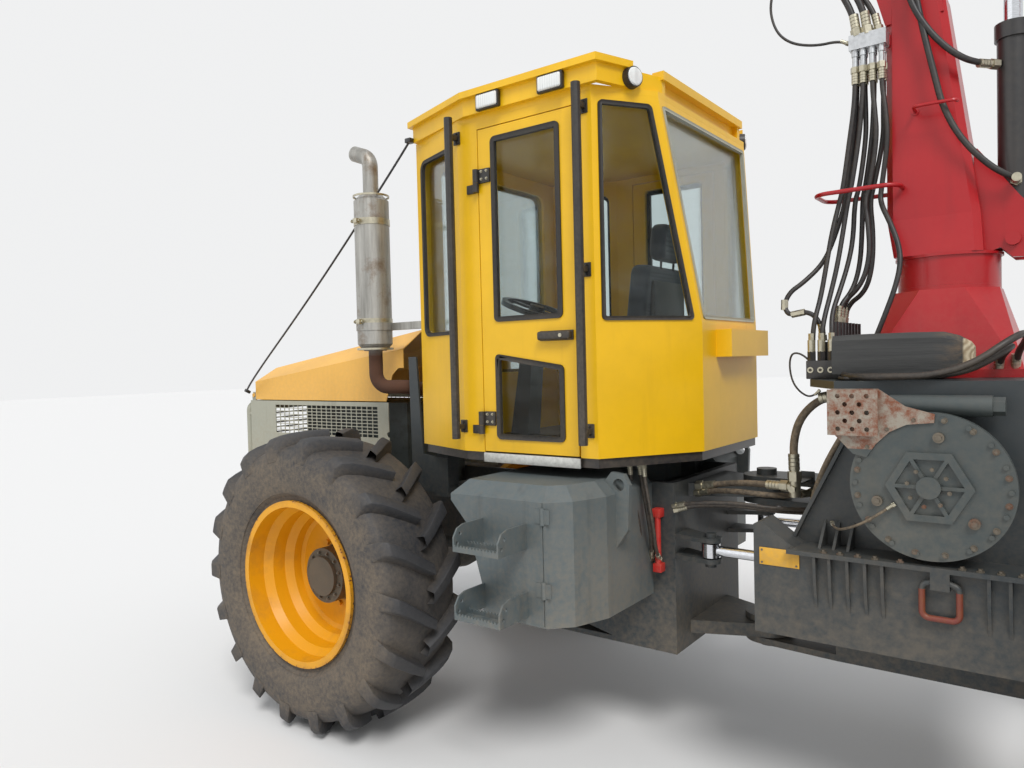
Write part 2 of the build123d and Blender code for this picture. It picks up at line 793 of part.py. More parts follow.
# Roof: a plate on the walls, lamp bays along the sides, an open rear with one bar across
roof_plan = ((1610, 670), (1120, 830), (390, 830), (260, 470))
bay_plan = ((1590, 650), (1120, 805), (400, 805), (275, 460))
rear_opening_x = 780
with BuildPart() as cab_roof:
    top_plan = (*cab_plan[:3], (cab_rear_x + cab_rear_lean, rear_top_y))
    plan_prism(top_plan, (cab_top_z + seat_gap, cab_top_z + 25))
    plan_prism(bay_plan, (cab_top_z + 25, roof_z - 30))
    plan_prism(bay_plan, (cab_top_z + 25, roof_z - 30), 28, Mode.SUBTRACT)
    plan_prism(roof_plan, (roof_z - 30, roof_z))
    rear_opening = ((200, -620), (rear_opening_x, -700), (rear_opening_x, 700), (200, 620))
    floor_plate(rear_opening, (roof_z - 31, roof_z + 1), Mode.SUBTRACT)
    block((200, 300), (-430, 430), (cab_top_z + 26, roof_z - 30), Mode.SUBTRACT)
    block((262, 316), (-470, 470), (roof_z - 44, roof_z - 6))
save(cab_roof.part, "cab_roof")

# Work lamps in the bays: two square ones over each door, a round one at the rear corner
lamp_z = (cab_top_z + 25 + roof_z - 30) / 2
lamp_half = 34
with BuildPart() as lamps:
    for side in (1, -1):
        for x in (620, 960):
            y = sorted((side * (bay_plan[1][1] + seat_gap), side * (bay_plan[1][1] + 30)))
            block((x - 60, x + 60), y, (lamp_z - lamp_half, lamp_z + lamp_half))
        bay_side, bay_rear = Vector(*bay_plan[2]), Vector(*bay_plan[3])
        wall = (bay_rear + bay_side) / 2
        run = bay_rear - bay_side
        outward = Vector(run.Y, -run.X).normalized()
        corner = Vector(wall.X, side * wall.Y, lamp_z)
        outward = Vector(outward.X, side * outward.Y, 0)
        bar(corner + outward * seat_gap, corner + outward * 34, lamp_half)
save(lamps.part, "work_lamps")

# Operator's place
with BuildPart() as seat:
    block((520, 960), (-230, 230), (1640, 1740))
    side_plate(((520, 1740), (620, 1740), (560, 2280), (450, 2280)), (-220, 220))
    block((620, 860), (-120, 120), (cab_wall_z, 1640))
    for y in both(228, 300):
        block((560, 900), y, (1860, 1900))
        block((560, 620), y, (1700, 1860))
    fillet(seat.edges().filter_by(Axis.Y).group_by(Axis.Z)[-1], 30)
save(seat.part, "seat")
with BuildPart() as steering:
    side_plate(((1330, cab_wall_z), (1450, cab_wall_z), (1330, 2080), (1270, 2080)), (-60, 60))
    wheel_plane = Plane(origin=(1290, 0, 2110), z_dir=(-0.35, 0, 0.94))
    with Locations(wheel_plane):
        Cylinder(205, 28)
        Cylinder(176, 30, mode=Mode.SUBTRACT)
        Cylinder(45, 50)
        Box(380, 28, 14)
save(steering.part, "steering_column")

# Black grab rails beside the door, standing off the cab on short stubs
with BuildPart() as handrails:
    for side in (1, -1):
        for x in (1180, 480):
            y = side * (cab_side_y + 62)
            bar((x, y, 1470), (x, y, 2960), 15)
            for z in (1520, 2880):
                bar((x, side * (cab_side_y + seat_gap), z), (x, y, z), 10)
save(handrails.part, "handrails")

# Side boxes with the chamfered rear corner, and their two steps
box_plan = (
    (box_front_x, front_rail_y + seat_gap),
    (box_front_x, box_outer_y),
    (box_rear_x + 143, box_outer_y),
    (box_rear_x + 59, box_outer_y - 84),
    (box_rear_x, box_outer_y - 250),
    (box_rear_x, front_rail_y + seat_gap),
)
with BuildPart() as box_left:
    floor_plate(box_plan, (box_bottom_z, box_top_z))
    top_rim = box_left.edges().group_by(Axis.Z)[-1]
    top_rim = top_rim.filter_by_position(Axis.Y, front_rail_y + 10, box_outer_y + 1)
    chamfer(top_rim, box_bevel)
    # The front leans back under the tyre, and a door's seam runs down the outer side
    side_plate(
        (
            (box_front_x - 170, box_bottom_z - 1),
            (box_front_x - 168, 868),
            (box_front_x - 92, 1122),
            (box_front_x + 1, 1222),
            (box_front_x + 1, box_bottom_z - 1),
        ),
        (front_rail_y, box_outer_y + 1),
        Mode.SUBTRACT,
    )
    seam_x = box_rear_x + 150
    seam_z = box_bottom_z + 6, box_top_z - box_bevel
    block((seam_x, seam_x + 4), (box_outer_y - 4, box_outer_y + 1), seam_z, Mode.SUBTRACT)
    for z in (860, 1160):
        bar((seam_x + 2, box_outer_y, z), (seam_x + 2, box_outer_y, z + 70), 11)
        block((seam_x - 34, seam_x + 38), (box_outer_y - 1, box_outer_y + 4), (z + 6, z + 64))
    # Eye lug on the rear face
    with BuildSketch(Plane.XZ.offset(-720)) as eye_lug:
        Polygon(
            (box_rear_x, 1020),
            (box_rear_x - 55, 1100),
            (box_rear_x - 65, 1290),
            (box_rear_x - 40, 1335),
            (box_rear_x + 20, 1342),
            (box_rear_x + 55, 1300),
            (box_rear_x + 40, 1240),
        )
        with Locations((box_rear_x - 14, 1288)):
            Circle(27, mode=Mode.SUBTRACT)
    extrude(eye_lug.sketch, amount=25)
with BuildPart() as side_boxes:
    add(box_left.part)
    add(mirror(box_left.part, about=Plane.XZ))
save(side_boxes.part, "side_boxes")
with BuildPart() as step_left:
    step_inner_y = box_outer_y + seat_gap
    for z in step_heights:
        for x in (step_rear_x, step_front_x - 8):
            with BuildSketch(Plane.YZ.offset(x)) as step_ear:
                Polygon(
                    (step_inner_y, z - 6),
                    (step_outer_y, z - 6),
                    (step_outer_y, z + 52),
                    (step_outer_y - 24, z + 86),
                    (step_outer_y - 62, z + 98),
                    (step_inner_y, z + 98),
                )
                with Locations((step_outer_y - 40, z + 62), (step_outer_y - 22, z + 26)):
                    Circle(8, mode=Mode.SUBTRACT)
            extrude(step_ear.sketch, amount=8)
        block((step_rear_x, step_front_x), (step_outer_y - 90, step_outer_y), (z - 6, z))
        teeth, tooth_height = 14, 12
        pitch_x = (step_front_x - step_rear_x) / teeth
        zigzag = [(step_rear_x, z - 3), (step_rear_x, z + 12)]
        for i in range(teeth):
            zigzag.append((step_rear_x + (i + 0.5) * pitch_x, z + 12 + tooth_height))
            zigzag.append((step_rear_x + (i + 1) * pitch_x, z + 12))
        zigzag.append((step_front_x, z - 3))
        for y in (step_outer_y - 88, step_outer_y - 6):
            side_plate(zigzag, (y, y + 6))
with BuildPart() as steps:
    add(step_left.part)
    add(mirror(step_left.part, about=Plane.XZ))
save(steps.part, "steps")

# Rear chassis: two deep beams, the fork of the articulation, the crane's legs and the fairlead
fork_gap = running_gap - 1
rear_end_x = -2750
with BuildPart() as rear_chassis:
    for y in both(rear_beam_inner_y, rear_beam_y):
        block((-1120, rear_beam_front_x), y, (rear_beam_bottom, rear_beam_top))
    for y in both(rear_beam_inner_y - 40, rear_beam_inner_y):
        side_plate(
            (
                (rear_beam_front_x, rear_beam_bottom),
                (rear_beam_front_x, rear_beam_top),
                (rear_end_x, rear_beam_top),
                (rear_end_x, rear_beam_bottom + 60),
                (rear_axle_x - 230, rear_beam_bottom + 60),
                (rear_axle_x - 150, rear_arch_z),
                (rear_axle_x + 150, rear_arch_z),
                (rear_axle_x + 230, rear_beam_bottom),
            ),
            y,
        )
    # Rail and tapering ribs along the beams, a sloping cover at the front and a lashing ring
    for side in (1, -1):
        y = sorted((side * rear_beam_y, side * (rear_beam_y + 34)))
        block((-1120, -330), y, (rear_beam_top - 16, rear_beam_top))
        for x in (-1070, -1015, -958, -650, -596, -539, -480, -429):
            with BuildSketch(Plane.YZ.offset(x)) as rib:
                Polygon(
                    (side * (rear_beam_y - 2), rear_beam_top - 10),
                    (side * (rear_beam_y + 30), rear_beam_top - 10),
                    (side * (rear_beam_y + 20), rear_beam_top - 120),
                    (side * (rear_beam_y - 2), rear_beam_top - 215),
                )
            extrude(rib.sketch, amount=10)
        y = sorted((side * (rear_beam_inner_y + 5), side * rear_beam_y))
        cover = (rear_beam_front_x, 0), (rear_beam_front_x, 75), (rear_beam_front_x - 30, 88), (-350, 0)
        side_plate([(x, rear_beam_top - 2 + z) for x, z in cover], y)
        ring_y = side * (rear_beam_y + 20)
        y = sorted((side * (rear_beam_y - 2), side * (rear_beam_y + 34)))
        block((-846, -790), y, (1046, 1104))
        pipe(
            (
                (-835, ring_y, 1072),
                (-872, ring_y, 1060),
                (-872, ring_y, 950),
                (-764, ring_y, 950),
                (-764, ring_y, 1060),
                (-801, ring_y, 1072),
            ),
            10,
            22,
        )
    block((-1080, -560), (-rear_beam_inner_y, rear_beam_inner_y), (rear_beam_bottom, rear_beam_bottom + 25))
    block((-1140, -1080), (-rear_beam_inner_y, rear_beam_inner_y), (lower_lug_z + 60, rear_beam_top))
    # The fork: an upper and a lower pair of plates on a centre box
    centre_x = -1080
    for z in (lower_lug_z, upper_lug_z):
        for low in (z - lug_thickness / 2 - fork_gap - fork_thickness, z + lug_thickness / 2 + fork_gap):
            back_x = centre_x if z < steer_z else -540
            with BuildSketch(Plane.XY.offset(low)) as fork_outline:
                Circle(lug_radius - 5)
                Polygon((0, -105), (0, 105), (-330, 130), (back_x, 130), (back_x, -130), (-330, -130))
            extrude(fork_outline.sketch, amount=fork_thickness)
        bar((0, 0, z - 90), (0, 0, z + 90), pivot_pin_diameter / 2)
    for y in both(90, 130):
        side_plate(
            (
                (-330, lower_lug_z - 63),
                (-330, upper_lug_z + 63),
                (-520, upper_lug_z + 63),
                (-580, rear_beam_top),
                (centre_x, rear_beam_top),
                (centre_x, lower_lug_z - 63),
            ),
            y,
        )
    # Ears for the steering barrels
    for side in (1, -1):
        ear = steer_barrel_diameter / 2 + running_gap
        for z in (steer_z - ear - 20, steer_z + ear):
            block((steer_barrel_x - 140, steer_barrel_x + 50), sorted((side * 350, side * 450)), (z, z + 20))
        bar(
            (steer_barrel_x, side * steer_barrel_y, steer_z - ear - 24),
            (steer_barrel_x, side * steer_barrel_y, steer_z + ear + 24),
            20 - pin_gap,
        )
    # Crane legs and the plate that carries the crane, with the winch between the legs
    leg_front = ((-300, rear_beam_top - 5), (-350, 1222), (-498, 1518), (-498, 1560))
    for y in both(winch_plate_y - 20, winch_plate_y):
        side_plate(
            (
                (-1260, rear_beam_top - 5),
                (-1180, 1500),
                (-1080, crane_base_z - 30),
                (-470, crane_base_z - 30),
                *reversed(leg_front),
            ),
            y,
        )
    floor_plate(
        (
            (-1160, -winch_plate_y),
            (-460, -winch_plate_y),
            (-300, -200),
            (-300, 350),
            (-460, winch_plate_y),
            (-1160, winch_plate_y),
        ),
        (crane_base_z - 30, crane_base_z),
    )
    # A strip stands proud along the legs' front edges, with gussets behind it
    strip = [*leg_front, *((x - 14, z) for x, z in reversed(leg_front))]
    for y in both(winch_plate_y, winch_plate_y + 34):
        side_plate(strip, y)
    for side in (1, -1):
        for x in (-430, -478, -526, -1100):
            with BuildSketch(Plane.YZ.offset(x)) as gusset:
                low_z = rear_beam_top - 4
                Polygon(
                    (side * (winch_plate_y - 2), low_z),
                    (side * (winch_plate_y + 96), low_z),
                    (side * (winch_plate_y - 2), low_z + 96),
                )
            extrude(gusset.sketch, amount=10)
    # Rear end: cross plate, roller frame, shield ears and the feet of its cylinders
    block((rear_end_x, rear_end_x + 40), (-rear_beam_inner_y, rear_beam_inner_y), (870, 1240))
    for side in (1, -1):
        for y in (sorted((side * 392, side * 412)), sorted((side * 288, side * 308))):
            side_plate(
                (
                    (rear_end_x + 1, 1080),
                    (rear_end_x + 1, 1235),
                    (-2800, 1225),
                    (-2840, 1180),
                    (-2800, 1135),
                ),
                y,
            )
        pin_y(-2800, 1180, sorted((side * 284, side * 416)), 18)
    for y in both(330, 370):
        side_plate(((-2560, 560), (-2660, 560), (-2660, 1560), (-2560, 1560)), y)
    pin_y(-2640, 1520, (-370, 370), 45)
    for y in both(370, 414):
        block((shield_hinge_x - 60, shield_hinge_x + 110), y, (shield_hinge_z - 60, shield_hinge_z + 60))
    for y in both(340, 470):
        pin_y(shield_hinge_x, shield_hinge_z, y, 30)
    block((-2710, -2500), (-rear_beam_inner_y, rear_beam_inner_y), (870, 900))
save(rear_chassis.part, "rear_chassis")

# Winch: a clutch disc on each side, side housings and a shaft that carries the drum
winch_side_y = winch_disc_y - 60
disc_radius = winch_disc_diameter / 2
with BuildPart() as winch:
    for side in (1, -1):
        y = sorted((side * (winch_plate_y + seat_gap), side * winch_side_y))
        pin_y(winch_x, winch_z, y, disc_radius - 22)
        y = sorted((side * winch_side_y, side * (winch_disc_y - 25)))
        pin_y(winch_x, winch_z, y, disc_radius)
        # A raised hexagon with six spokes and a hub
        face_centre = winch_x, side * (winch_disc_y - 25), winch_z
        face = Plane(origin=face_centre, x_dir=(1, 0, 0), z_dir=(0, side, 0))
        with BuildSketch(face) as hexagon:
            RegularPolygon(130, 6)
            RegularPolygon(104, 6, mode=Mode.SUBTRACT)
            with PolarLocations(0, 6):
                with Locations((60, 0)):
                    Rectangle(110, 12)
        extrude(hexagon.sketch, amount=14)
        with Locations(face):
            Cylinder(36, 25, align=(Align.CENTER, Align.CENTER, Align.MIN))
            with PolarLocations(disc_radius - 18, 18):
                Cylinder(8, 8, align=(Align.CENTER, Align.CENTER, Align.MIN))
        y = sorted((side * (drum_half_length + running_gap), side * (winch_plate_y - 20 - seat_gap)))
        pin_y(winch_x, winch_z, y, 120)
    pin_y(winch_x, winch_z, (-drum_half_length - running_gap, drum_half_length + running_gap), 45)
    # Clutch cylinder above the left disc
    clutch_y, clutch_z = 684, 1640
    bar((-660, clutch_y, clutch_z), (-960, clutch_y, clutch_z), 35)
    for x in (-700, -900):
        block((x - 14, x + 14), (winch_plate_y + seat_gap, clutch_y), (clutch_z - 30, clutch_z + 30))
    with BuildSketch(Plane(origin=(-960, clutch_y, clutch_z), z_dir=(-1, 0, 0))) as nut:
        RegularPolygon(30, 6)
    extrude(nut.sketch, amount=34)
    # Bracket bolted to the left disc's rim, with a perforated plate
    bracket_y = winch_disc_y - 25
    side_plate(
        (
            (-560, 1478),
            (-602, 1468),
            (-632, 1514),
            (-674, 1556),
            (-726, 1582),
            (-806, 1590),
            (-808, 1618),
            (-722, 1642),
            (-640, 1700),
            (-490, 1700),
            (-490, 1552),
        ),
        (bracket_y, bracket_y + 8),
    )
    with BuildSketch(Plane.XZ.offset(-bracket_y - 34)) as treads:
        with Locations((-564, 1620)):
            Rectangle(160, 156)
        for row, count in enumerate((3, 2, 3, 2, 3)):
            with Locations((-564, 1564 + row * 28)):
                with GridLocations(46, 1, count, 1):
                    Circle(8, mode=Mode.SUBTRACT)
    extrude(treads.sketch, amount=6)
    for x in (-642, -492):
        block((x, x + 6), (bracket_y + 6, bracket_y + 34), (1560, 1690))
save(winch.part, "winch_housing")

with BuildPart() as drum:
    ends = drum_half_length - 1
    pin_y(winch_x, winch_z, (-ends, ends), drum_diameter / 2)
    for y in (-ends, -9, ends - 18):
        pin_y(winch_x, winch_z, (y, y + 18), drum_flange_diameter / 2)
    for y in both(10, ends - 19):
        pin_y(winch_x, winch_z, y, rope_pile_diameter / 2)
    pin_y(winch_x, winch_z, (-ends - 1, ends + 1), 45 + pin_gap, Mode.SUBTRACT)
save(drum.part, "winch_drum")

# Crane foot: a flat flange, a pyramid and the fixed half of the slewing ring
with BuildPart() as crane_base:
    block((crane_x - 300, crane_x + 300), (-300, 300), (crane_base_z + seat_gap, crane_base_z + 30))
    with BuildSketch(Plane.XY.offset(crane_base_z + 30)) as low:
        with Locations((crane_x, 0)):
            Rectangle(540, 540)
            chamfer(low.vertices(), 12)
    with BuildSketch(Plane.XY.offset(slew_ring_z)) as high:
        with Locations((crane_x, 0)):
            Rectangle(slew_ring_diameter, slew_ring_diameter)
            chamfer(high.vertices(), slew_ring_diameter * 0.29)
    loft([low.sketch, high.sketch], ruled=True)
    fixed_ring_z = slew_ring_z + fixed_ring_height
    bar((crane_x, 0, slew_ring_z - 20), (crane_x, 0, fixed_ring_z), slew_ring_diameter / 2)
save(crane_base.part, "crane_base")

# Hydraulic manifold in front of the crane, with a row of couplings
with BuildPart() as valve_block:
    block((-430, -330), (-120, 320), (crane_base_z + seat_gap, crane_base_z + 150))
    for i in range(8):
        y = -90 + i * 54
        bar((-380, y, crane_base_z + 150), (-380, y, crane_base_z + 230), 17)
save(valve_block.part, "valve_block")

# Squared beam lying beside the crane foot
with BuildPart() as rest_beam:
    block((-870, -370), (345, 515), (crane_base_z + seat_gap, crane_base_z + 170))
    chamfer(rest_beam.edges().filter_by(Axis.Y), 18)
save(rest_beam.part, "rest_beam")

# Steering cylinders between the two frames
steer_length = hypot(steer_rod_x - steer_barrel_x, steer_rod_y - steer_barrel_y)
for side, name in ((1, "left"), (-1, "right")):
    foot = Vector(steer_barrel_x, side * steer_barrel_y, steer_z)
    eye = Vector(steer_rod_x, side * steer_rod_y, steer_z)
    along = (eye - foot).normalized()
    up = Vector(0, 0, steer_eye_height / 2)
    with BuildPart() as steer_barrel:
        bar(foot, foot + along * steer_barrel_length, steer_barrel_diameter / 2)
        bar(foot - up * 1.4, foot + up * 1.4, 49)
        mouth = foot + along * (steer_barrel_length + 1)
        bar(foot + along * 40, mouth, steer_rod_diameter / 2 + pin_gap, Mode.SUBTRACT)
        bar(foot - up * 2, foot + up * 2, 20, Mode.SUBTRACT)
    save(steer_barrel.part, f"steering_barrel_{name}")
    with BuildPart() as steer_rod:
        bar(foot + along * (steer_barrel_length - 310), eye, steer_rod_diameter / 2)
        bar(eye - up, eye + up, 40)
    save(steer_rod.part, f"steering_rod_{name}")

# Crane column: a turning ring, a tapering box leaning forward and the head for the boom's hinge
cheek = 22
head_inner_y = boom_width / 2 + running_gap
with BuildPart() as crane_column:
    ring_low = fixed_ring_z + seat_gap
    bar((crane_x, 0, ring_low), (crane_x, 0, slew_ring_top_z), slew_ring_diameter / 2)
    bar((crane_x, 0, slew_ring_top_z - 10), (crane_x, 0, slew_ring_top_z), slew_ring_diameter / 2 + 9)
    column_sections = (  # height, rear x, front x, half width
        (slew_ring_top_z, -885, -575, 165),
        (2350, -875, -548, 140),
        (2670, -830, -545, 120),
        (3230, -755, -545, 103),
    )
    outlines = []
    for z, rear_x, front_x, half in column_sections:
        with BuildSketch(Plane.XY.offset(z)) as outline:
            with Locations(((rear_x + front_x) / 2, 0)):
                Rectangle(front_x - rear_x, 2 * half)
                chamfer(outline.vertices(), 26)
        outlines.append(outline.sketch)
    loft(outlines, ruled=True)
    for y in both(head_inner_y, head_inner_y + cheek):
        side_plate(
            (
                (-755, 3150),
                (-690, 3500),
                (boom_hinge_x - 60, boom_hinge_z + 80),
                (boom_hinge_x + 60, boom_hinge_z + 80),
                (-470, 3420),
                (-545, 3150),
            ),
            y,
        )
    for y in both(head_inner_y - 40, head_inner_y + cheek + 24):
        pin_y(boom_hinge_x, boom_hinge_z, y, boom_pin_diameter / 2)
    # Ears behind the column for the lift cylinder's foot
    for y in both(56, 80):
        side_plate(
            (
                (-850, slew_ring_top_z),
                (-905, slew_ring_top_z),
                (-935, slew_ring_top_z + 12),
                (-975, slew_ring_top_z - 28),
                (-1035, slew_ring_top_z - 30),
                (-1075, slew_ring_top_z + 20),
                (-1075, lift_foot_z + 70),
                (-1000, 2400),
                (-862, 2600),
                (-850, 2600),
            ),
            y,
        )
    pin_y(lift_foot_x, lift_foot_z, (-100, 100), 25)
    # Bent rod that keeps the hoses together, and the arm that carries their manifold
    pipe(
        (
            (-560, 20, hose_ring_z),
            (-290, 20, hose_ring_z),
            (-290, 235, hose_ring_z),
            (-610, 235, hose_ring_z),
            (-610, 118, hose_ring_z),
        ),
        9,
        60,
    )
    block((-600, -440), (88, 100), (manifold_z + 10, manifold_z + 50))
save(crane_column.part, "crane_column")

# Light metal manifold on the column's left, with two rows of ports below
with BuildPart() as manifold:
    manifold_y = 100 + seat_gap
    block((-560, -420), (manifold_y, manifold_y + 70), (manifold_z, manifold_z + 60))
    for x in (-540, -505, -470, -440):
        for y in (manifold_y + 18, manifold_y + 52):
            bar((x, y, manifold_z - 26), (x, y, manifold_z), 13)
            bar((x, y, manifold_z - 70), (x, y, manifold_z - 26), 10)
save(manifold.part, "hose_manifold")

# Lift cylinder
lift_run = Vector(lift_eye_x - lift_foot_x, 0, lift_eye_z - lift_foot_z)
lift_along = lift_run.normalized()
lift_foot = Vector(lift_foot_x, 0, lift_foot_z)
lift_eye = Vector(lift_eye_x, 0, lift_eye_z)
lift_rod_radius = 32
with BuildPart() as lift_barrel:
    mouth = lift_foot + lift_along * lift_barrel_length
    bar(lift_foot, mouth, lift_barrel_diameter / 2)
    bar(mouth - lift_along * 60, mouth, lift_barrel_diameter / 2 + 8)
    pin_y(lift_foot_x, lift_foot_z, (-50, 50), 46)
    bar(lift_foot + lift_along * 120, mouth + lift_along, lift_rod_radius + pin_gap, Mode.SUBTRACT)
    pin_y(lift_foot_x, lift_foot_z, (-60, 60), 25 + pin_gap, Mode.SUBTRACT)
save(lift_barrel.part, "lift_barrel")
with BuildPart() as lift_rod:
    bar(lift_foot + lift_along * 360, lift_eye, lift_rod_radius)
    pin_y(lift_eye_x, lift_eye_z, (-32, 32), 50)
save(lift_rod.part, "lift_rod")

# Main boom, drawn level behind its hinge and then raised
boom_frame = Plane(
    origin=(boom_hinge_x, 0, boom_hinge_z),
    x_dir=(-cos(radians(boom_rise)), 0, sin(radians(boom_rise))),
    z_dir=(0, 1, 0),
)


def boom_plate(points, y, frame=boom_frame, mode=Mode.ADD):
    """An outline of distance along a boom and height above its middle line."""
    first = min(y[0] * frame.z_dir.Y, y[1] * frame.z_dir.Y)
    with BuildSketch(frame.offset(first)) as outline:
        Polygon(*points)
    extrude(outline.sketch, amount=y[1] - y[0], mode=mode)


def along_boom(s, up, frame=boom_frame):
    return frame.from_local_coords(Vector(s, up, 0))


def boom_pin(s, up, y, radius, frame=boom_frame, mode=Mode.ADD):
    """A pin through a boom, along Y."""
    centre = along_boom(s, up, frame)
    pin_y(centre.X, centre.Z, y, radius, mode)


boom_half = boom_width / 2
eye_on_boom = boom_frame.to_local_coords(lift_eye)
tip_plate_y = boom_half - 39, boom_half - 15
elbow_pin_radius = 35
boom_end = boom_length - 260
with BuildPart() as main_boom:
    boom_plate(
        (
            (-70, -60),
            (-40, 80),
            (500, 125),
            (1400, 110),
            (boom_end, 88),
            (boom_end, -88),
            (1400, -110),
            (520, -120),
            (eye_on_boom.X + 70, eye_on_boom.Y - 46),
            (eye_on_boom.X - 70, eye_on_boom.Y - 46),
            (220, -110),
        ),
        (-boom_half, boom_half),
    )
    # The root is open below, between its cheeks, for the lift rod
    boom_plate(
        ((-90, -170), (-90, 20), (300, 60), (560, 60), (560, -170)),
        (-boom_half + 16, boom_half - 16),
        mode=Mode.SUBTRACT,
    )
    boom_pin(0, 0, (-boom_half, boom_half), boom_pin_diameter / 2 + 26)
    for y in both(*tip_plate_y):
        boom_plate(
            (
                (boom_end - 20, 84),
                (boom_length - 40, 76),
                (boom_length + 56, 50),
                (boom_length + 56, -50),
                (boom_length - 40, -76),
                (boom_end - 20, -84),
            ),
            y,
        )
    for y in both(52, 74):
        boom_plate(
            (
                (fold_foot_along - 110, 90),
                (fold_foot_along - 42, fold_foot_up + 42),
                (fold_foot_along + 42, fold_foot_up + 42),
                (fold_foot_along + 110, 90),
            ),
            y,
        )
    boom_pin(fold_foot_along, fold_foot_up, (-84, 84), 20)
    for y in both(tip_plate_y[0] - 6, tip_plate_y[1] + 34):
        boom_pin(boom_length, 0, y, elbow_pin_radius)
    for y in both(boom_half - 16, boom_half + 8):
        boom_pin(eye_on_boom.X, eye_on_boom.Y, y, 24)
    boom_pin(0, 0, (-boom_half - 1, boom_half + 1), boom_pin_diameter / 2 + pin_gap, mode=Mode.SUBTRACT)
save(main_boom.part, "main_boom")

# Outer boom, folded under the main boom, with the heel that its cylinder pushes
elbow = along_boom(boom_length, 0)
outer_frame = Plane(
    origin=elbow,
    x_dir=(cos(radians(outer_fold)), 0, -sin(radians(outer_fold))),
    z_dir=(0, -1, 0),
)
heel = Vector(
    elbow.X + fold_heel * cos(radians(fold_heel_angle)),
    0,
    elbow.Z + fold_heel * sin(radians(fold_heel_angle)),
)
heel_on_outer = outer_frame.to_local_coords(heel)
outer_half = outer_width / 2
knuckle_y = tip_plate_y[1] + running_gap, tip_plate_y[1] + running_gap + 22
outer_box_start, outer_box_end = 320, 1400
inner_clear = 3
extension_half, extension_height = 42, 46
with BuildPart() as outer_boom:
    boom_plate(
        (
            (outer_box_start, 60),
            (outer_box_start + 140, 84),
            (outer_box_end, 64),
            (outer_box_end, -64),
            (outer_box_start + 140, -84),
            (outer_box_start, -60),
        ),
        (-outer_half, outer_half),
        outer_frame,
    )
    for y in both(*knuckle_y):
        boom_plate(
            (
                (heel_on_outer.X - 40, heel_on_outer.Y + 10),
                (heel_on_outer.X + 20, heel_on_outer.Y + 42),
                (60, 66),
                (outer_box_start + 120, 62),
                (outer_box_start + 120, -62),
                (40, -62),
                (-60, -40),
                (heel_on_outer.X - 30, heel_on_outer.Y - 34),
            ),
            y,
            outer_frame,
        )
        boom_pin(0, 0, y, 62, outer_frame)
        boom_pin(heel_on_outer.X, heel_on_outer.Y, (y[0] - 8, y[1] + 8), 24, outer_frame)
    for y in both(outer_half - 1, knuckle_y[1]):
        pad_start, pad_end = outer_box_start + 4, outer_box_start + 116
        boom_plate(((pad_start, 50), (pad_end, 50), (pad_end, -50), (pad_start, -50)), y, outer_frame)
    knuckle_span = -knuckle_y[1] - 20, knuckle_y[1] + 20
    boom_pin(0, 0, knuckle_span, elbow_pin_radius + pin_gap, outer_frame, Mode.SUBTRACT)
    cavity_y = extension_half + inner_clear
    cavity_height = extension_height + inner_clear
    boom_plate(
        (
            (outer_box_start + 22, cavity_height),
            (outer_box_end + 1, cavity_height),
            (outer_box_end + 1, -cavity_height),
            (outer_box_start + 22, -cavity_height),
        ),
        (-cavity_y, cavity_y),
        outer_frame,
        Mode.SUBTRACT,
    )
save(outer_boom.part, "outer_boom")

# Extension that slides in the outer boom, with slide pads and the tip's ears
link_half = 24
tip_pin_radius = 22
with BuildPart() as extension:
    boom_plate(
        (
            (outer_box_start + 40, extension_height),
            (outer_length - 70, extension_height),
            (outer_length - 70, -extension_height),
            (outer_box_start + 40, -extension_height),
        ),
        (-extension_half, extension_half),
        outer_frame,
    )
    for s in (outer_box_start + 60, outer_box_end - 60):
        reach = inner_clear - seat_gap
        boom_plate(
            (
                (s, extension_height + reach),
                (s + 50, extension_height + reach),
                (s + 50, -extension_height - reach),
                (s, -extension_height - reach),
            ),
            (-extension_half + 8, extension_half - 8),
            outer_frame,
        )
    for y in both(link_half + running_gap, link_half + running_gap + 16):
        boom_plate(
            (
                (outer_length - 80, extension_height),
                (outer_length + 20, 44),
                (outer_length + 44, 0),
                (outer_length + 20, -44),
                (outer_length - 80, -extension_height),
            ),
            y,
            outer_frame,
        )
    boom_pin(outer_length, 0, (-56, 56), tip_pin_radius, outer_frame)
save(extension.part, "boom_extension")

# Fold cylinder on top of the main boom
fold_foot = along_boom(fold_foot_along, fold_foot_up)
fold_along = (heel - fold_foot).normalized()
fold_barrel_length = 800
fold_rod_radius = 24
with BuildPart() as fold_barrel:
    bar(fold_foot, fold_foot + fold_along * fold_barrel_length, fold_barrel_diameter / 2)
    pin_y(fold_foot.X, fold_foot.Z, (-46, 46), 42)
    mouth = fold_foot + fold_along * (fold_barrel_length + 1)
    bar(fold_foot + fold_along * 80, mouth, fold_rod_radius + pin_gap, Mode.SUBTRACT)
    pin_y(fold_foot.X, fold_foot.Z, (-60, 60), 20 + pin_gap, Mode.SUBTRACT)
save(fold_barrel.part, "fold_barrel")
with BuildPart() as fold_rod:
    bar(fold_foot + fold_along * (fold_barrel_length - 170), heel, fold_rod_radius)
    pin_y(heel.X, heel.Z, (-28, 28), 36)
save(fold_rod.part, "fold_rod")

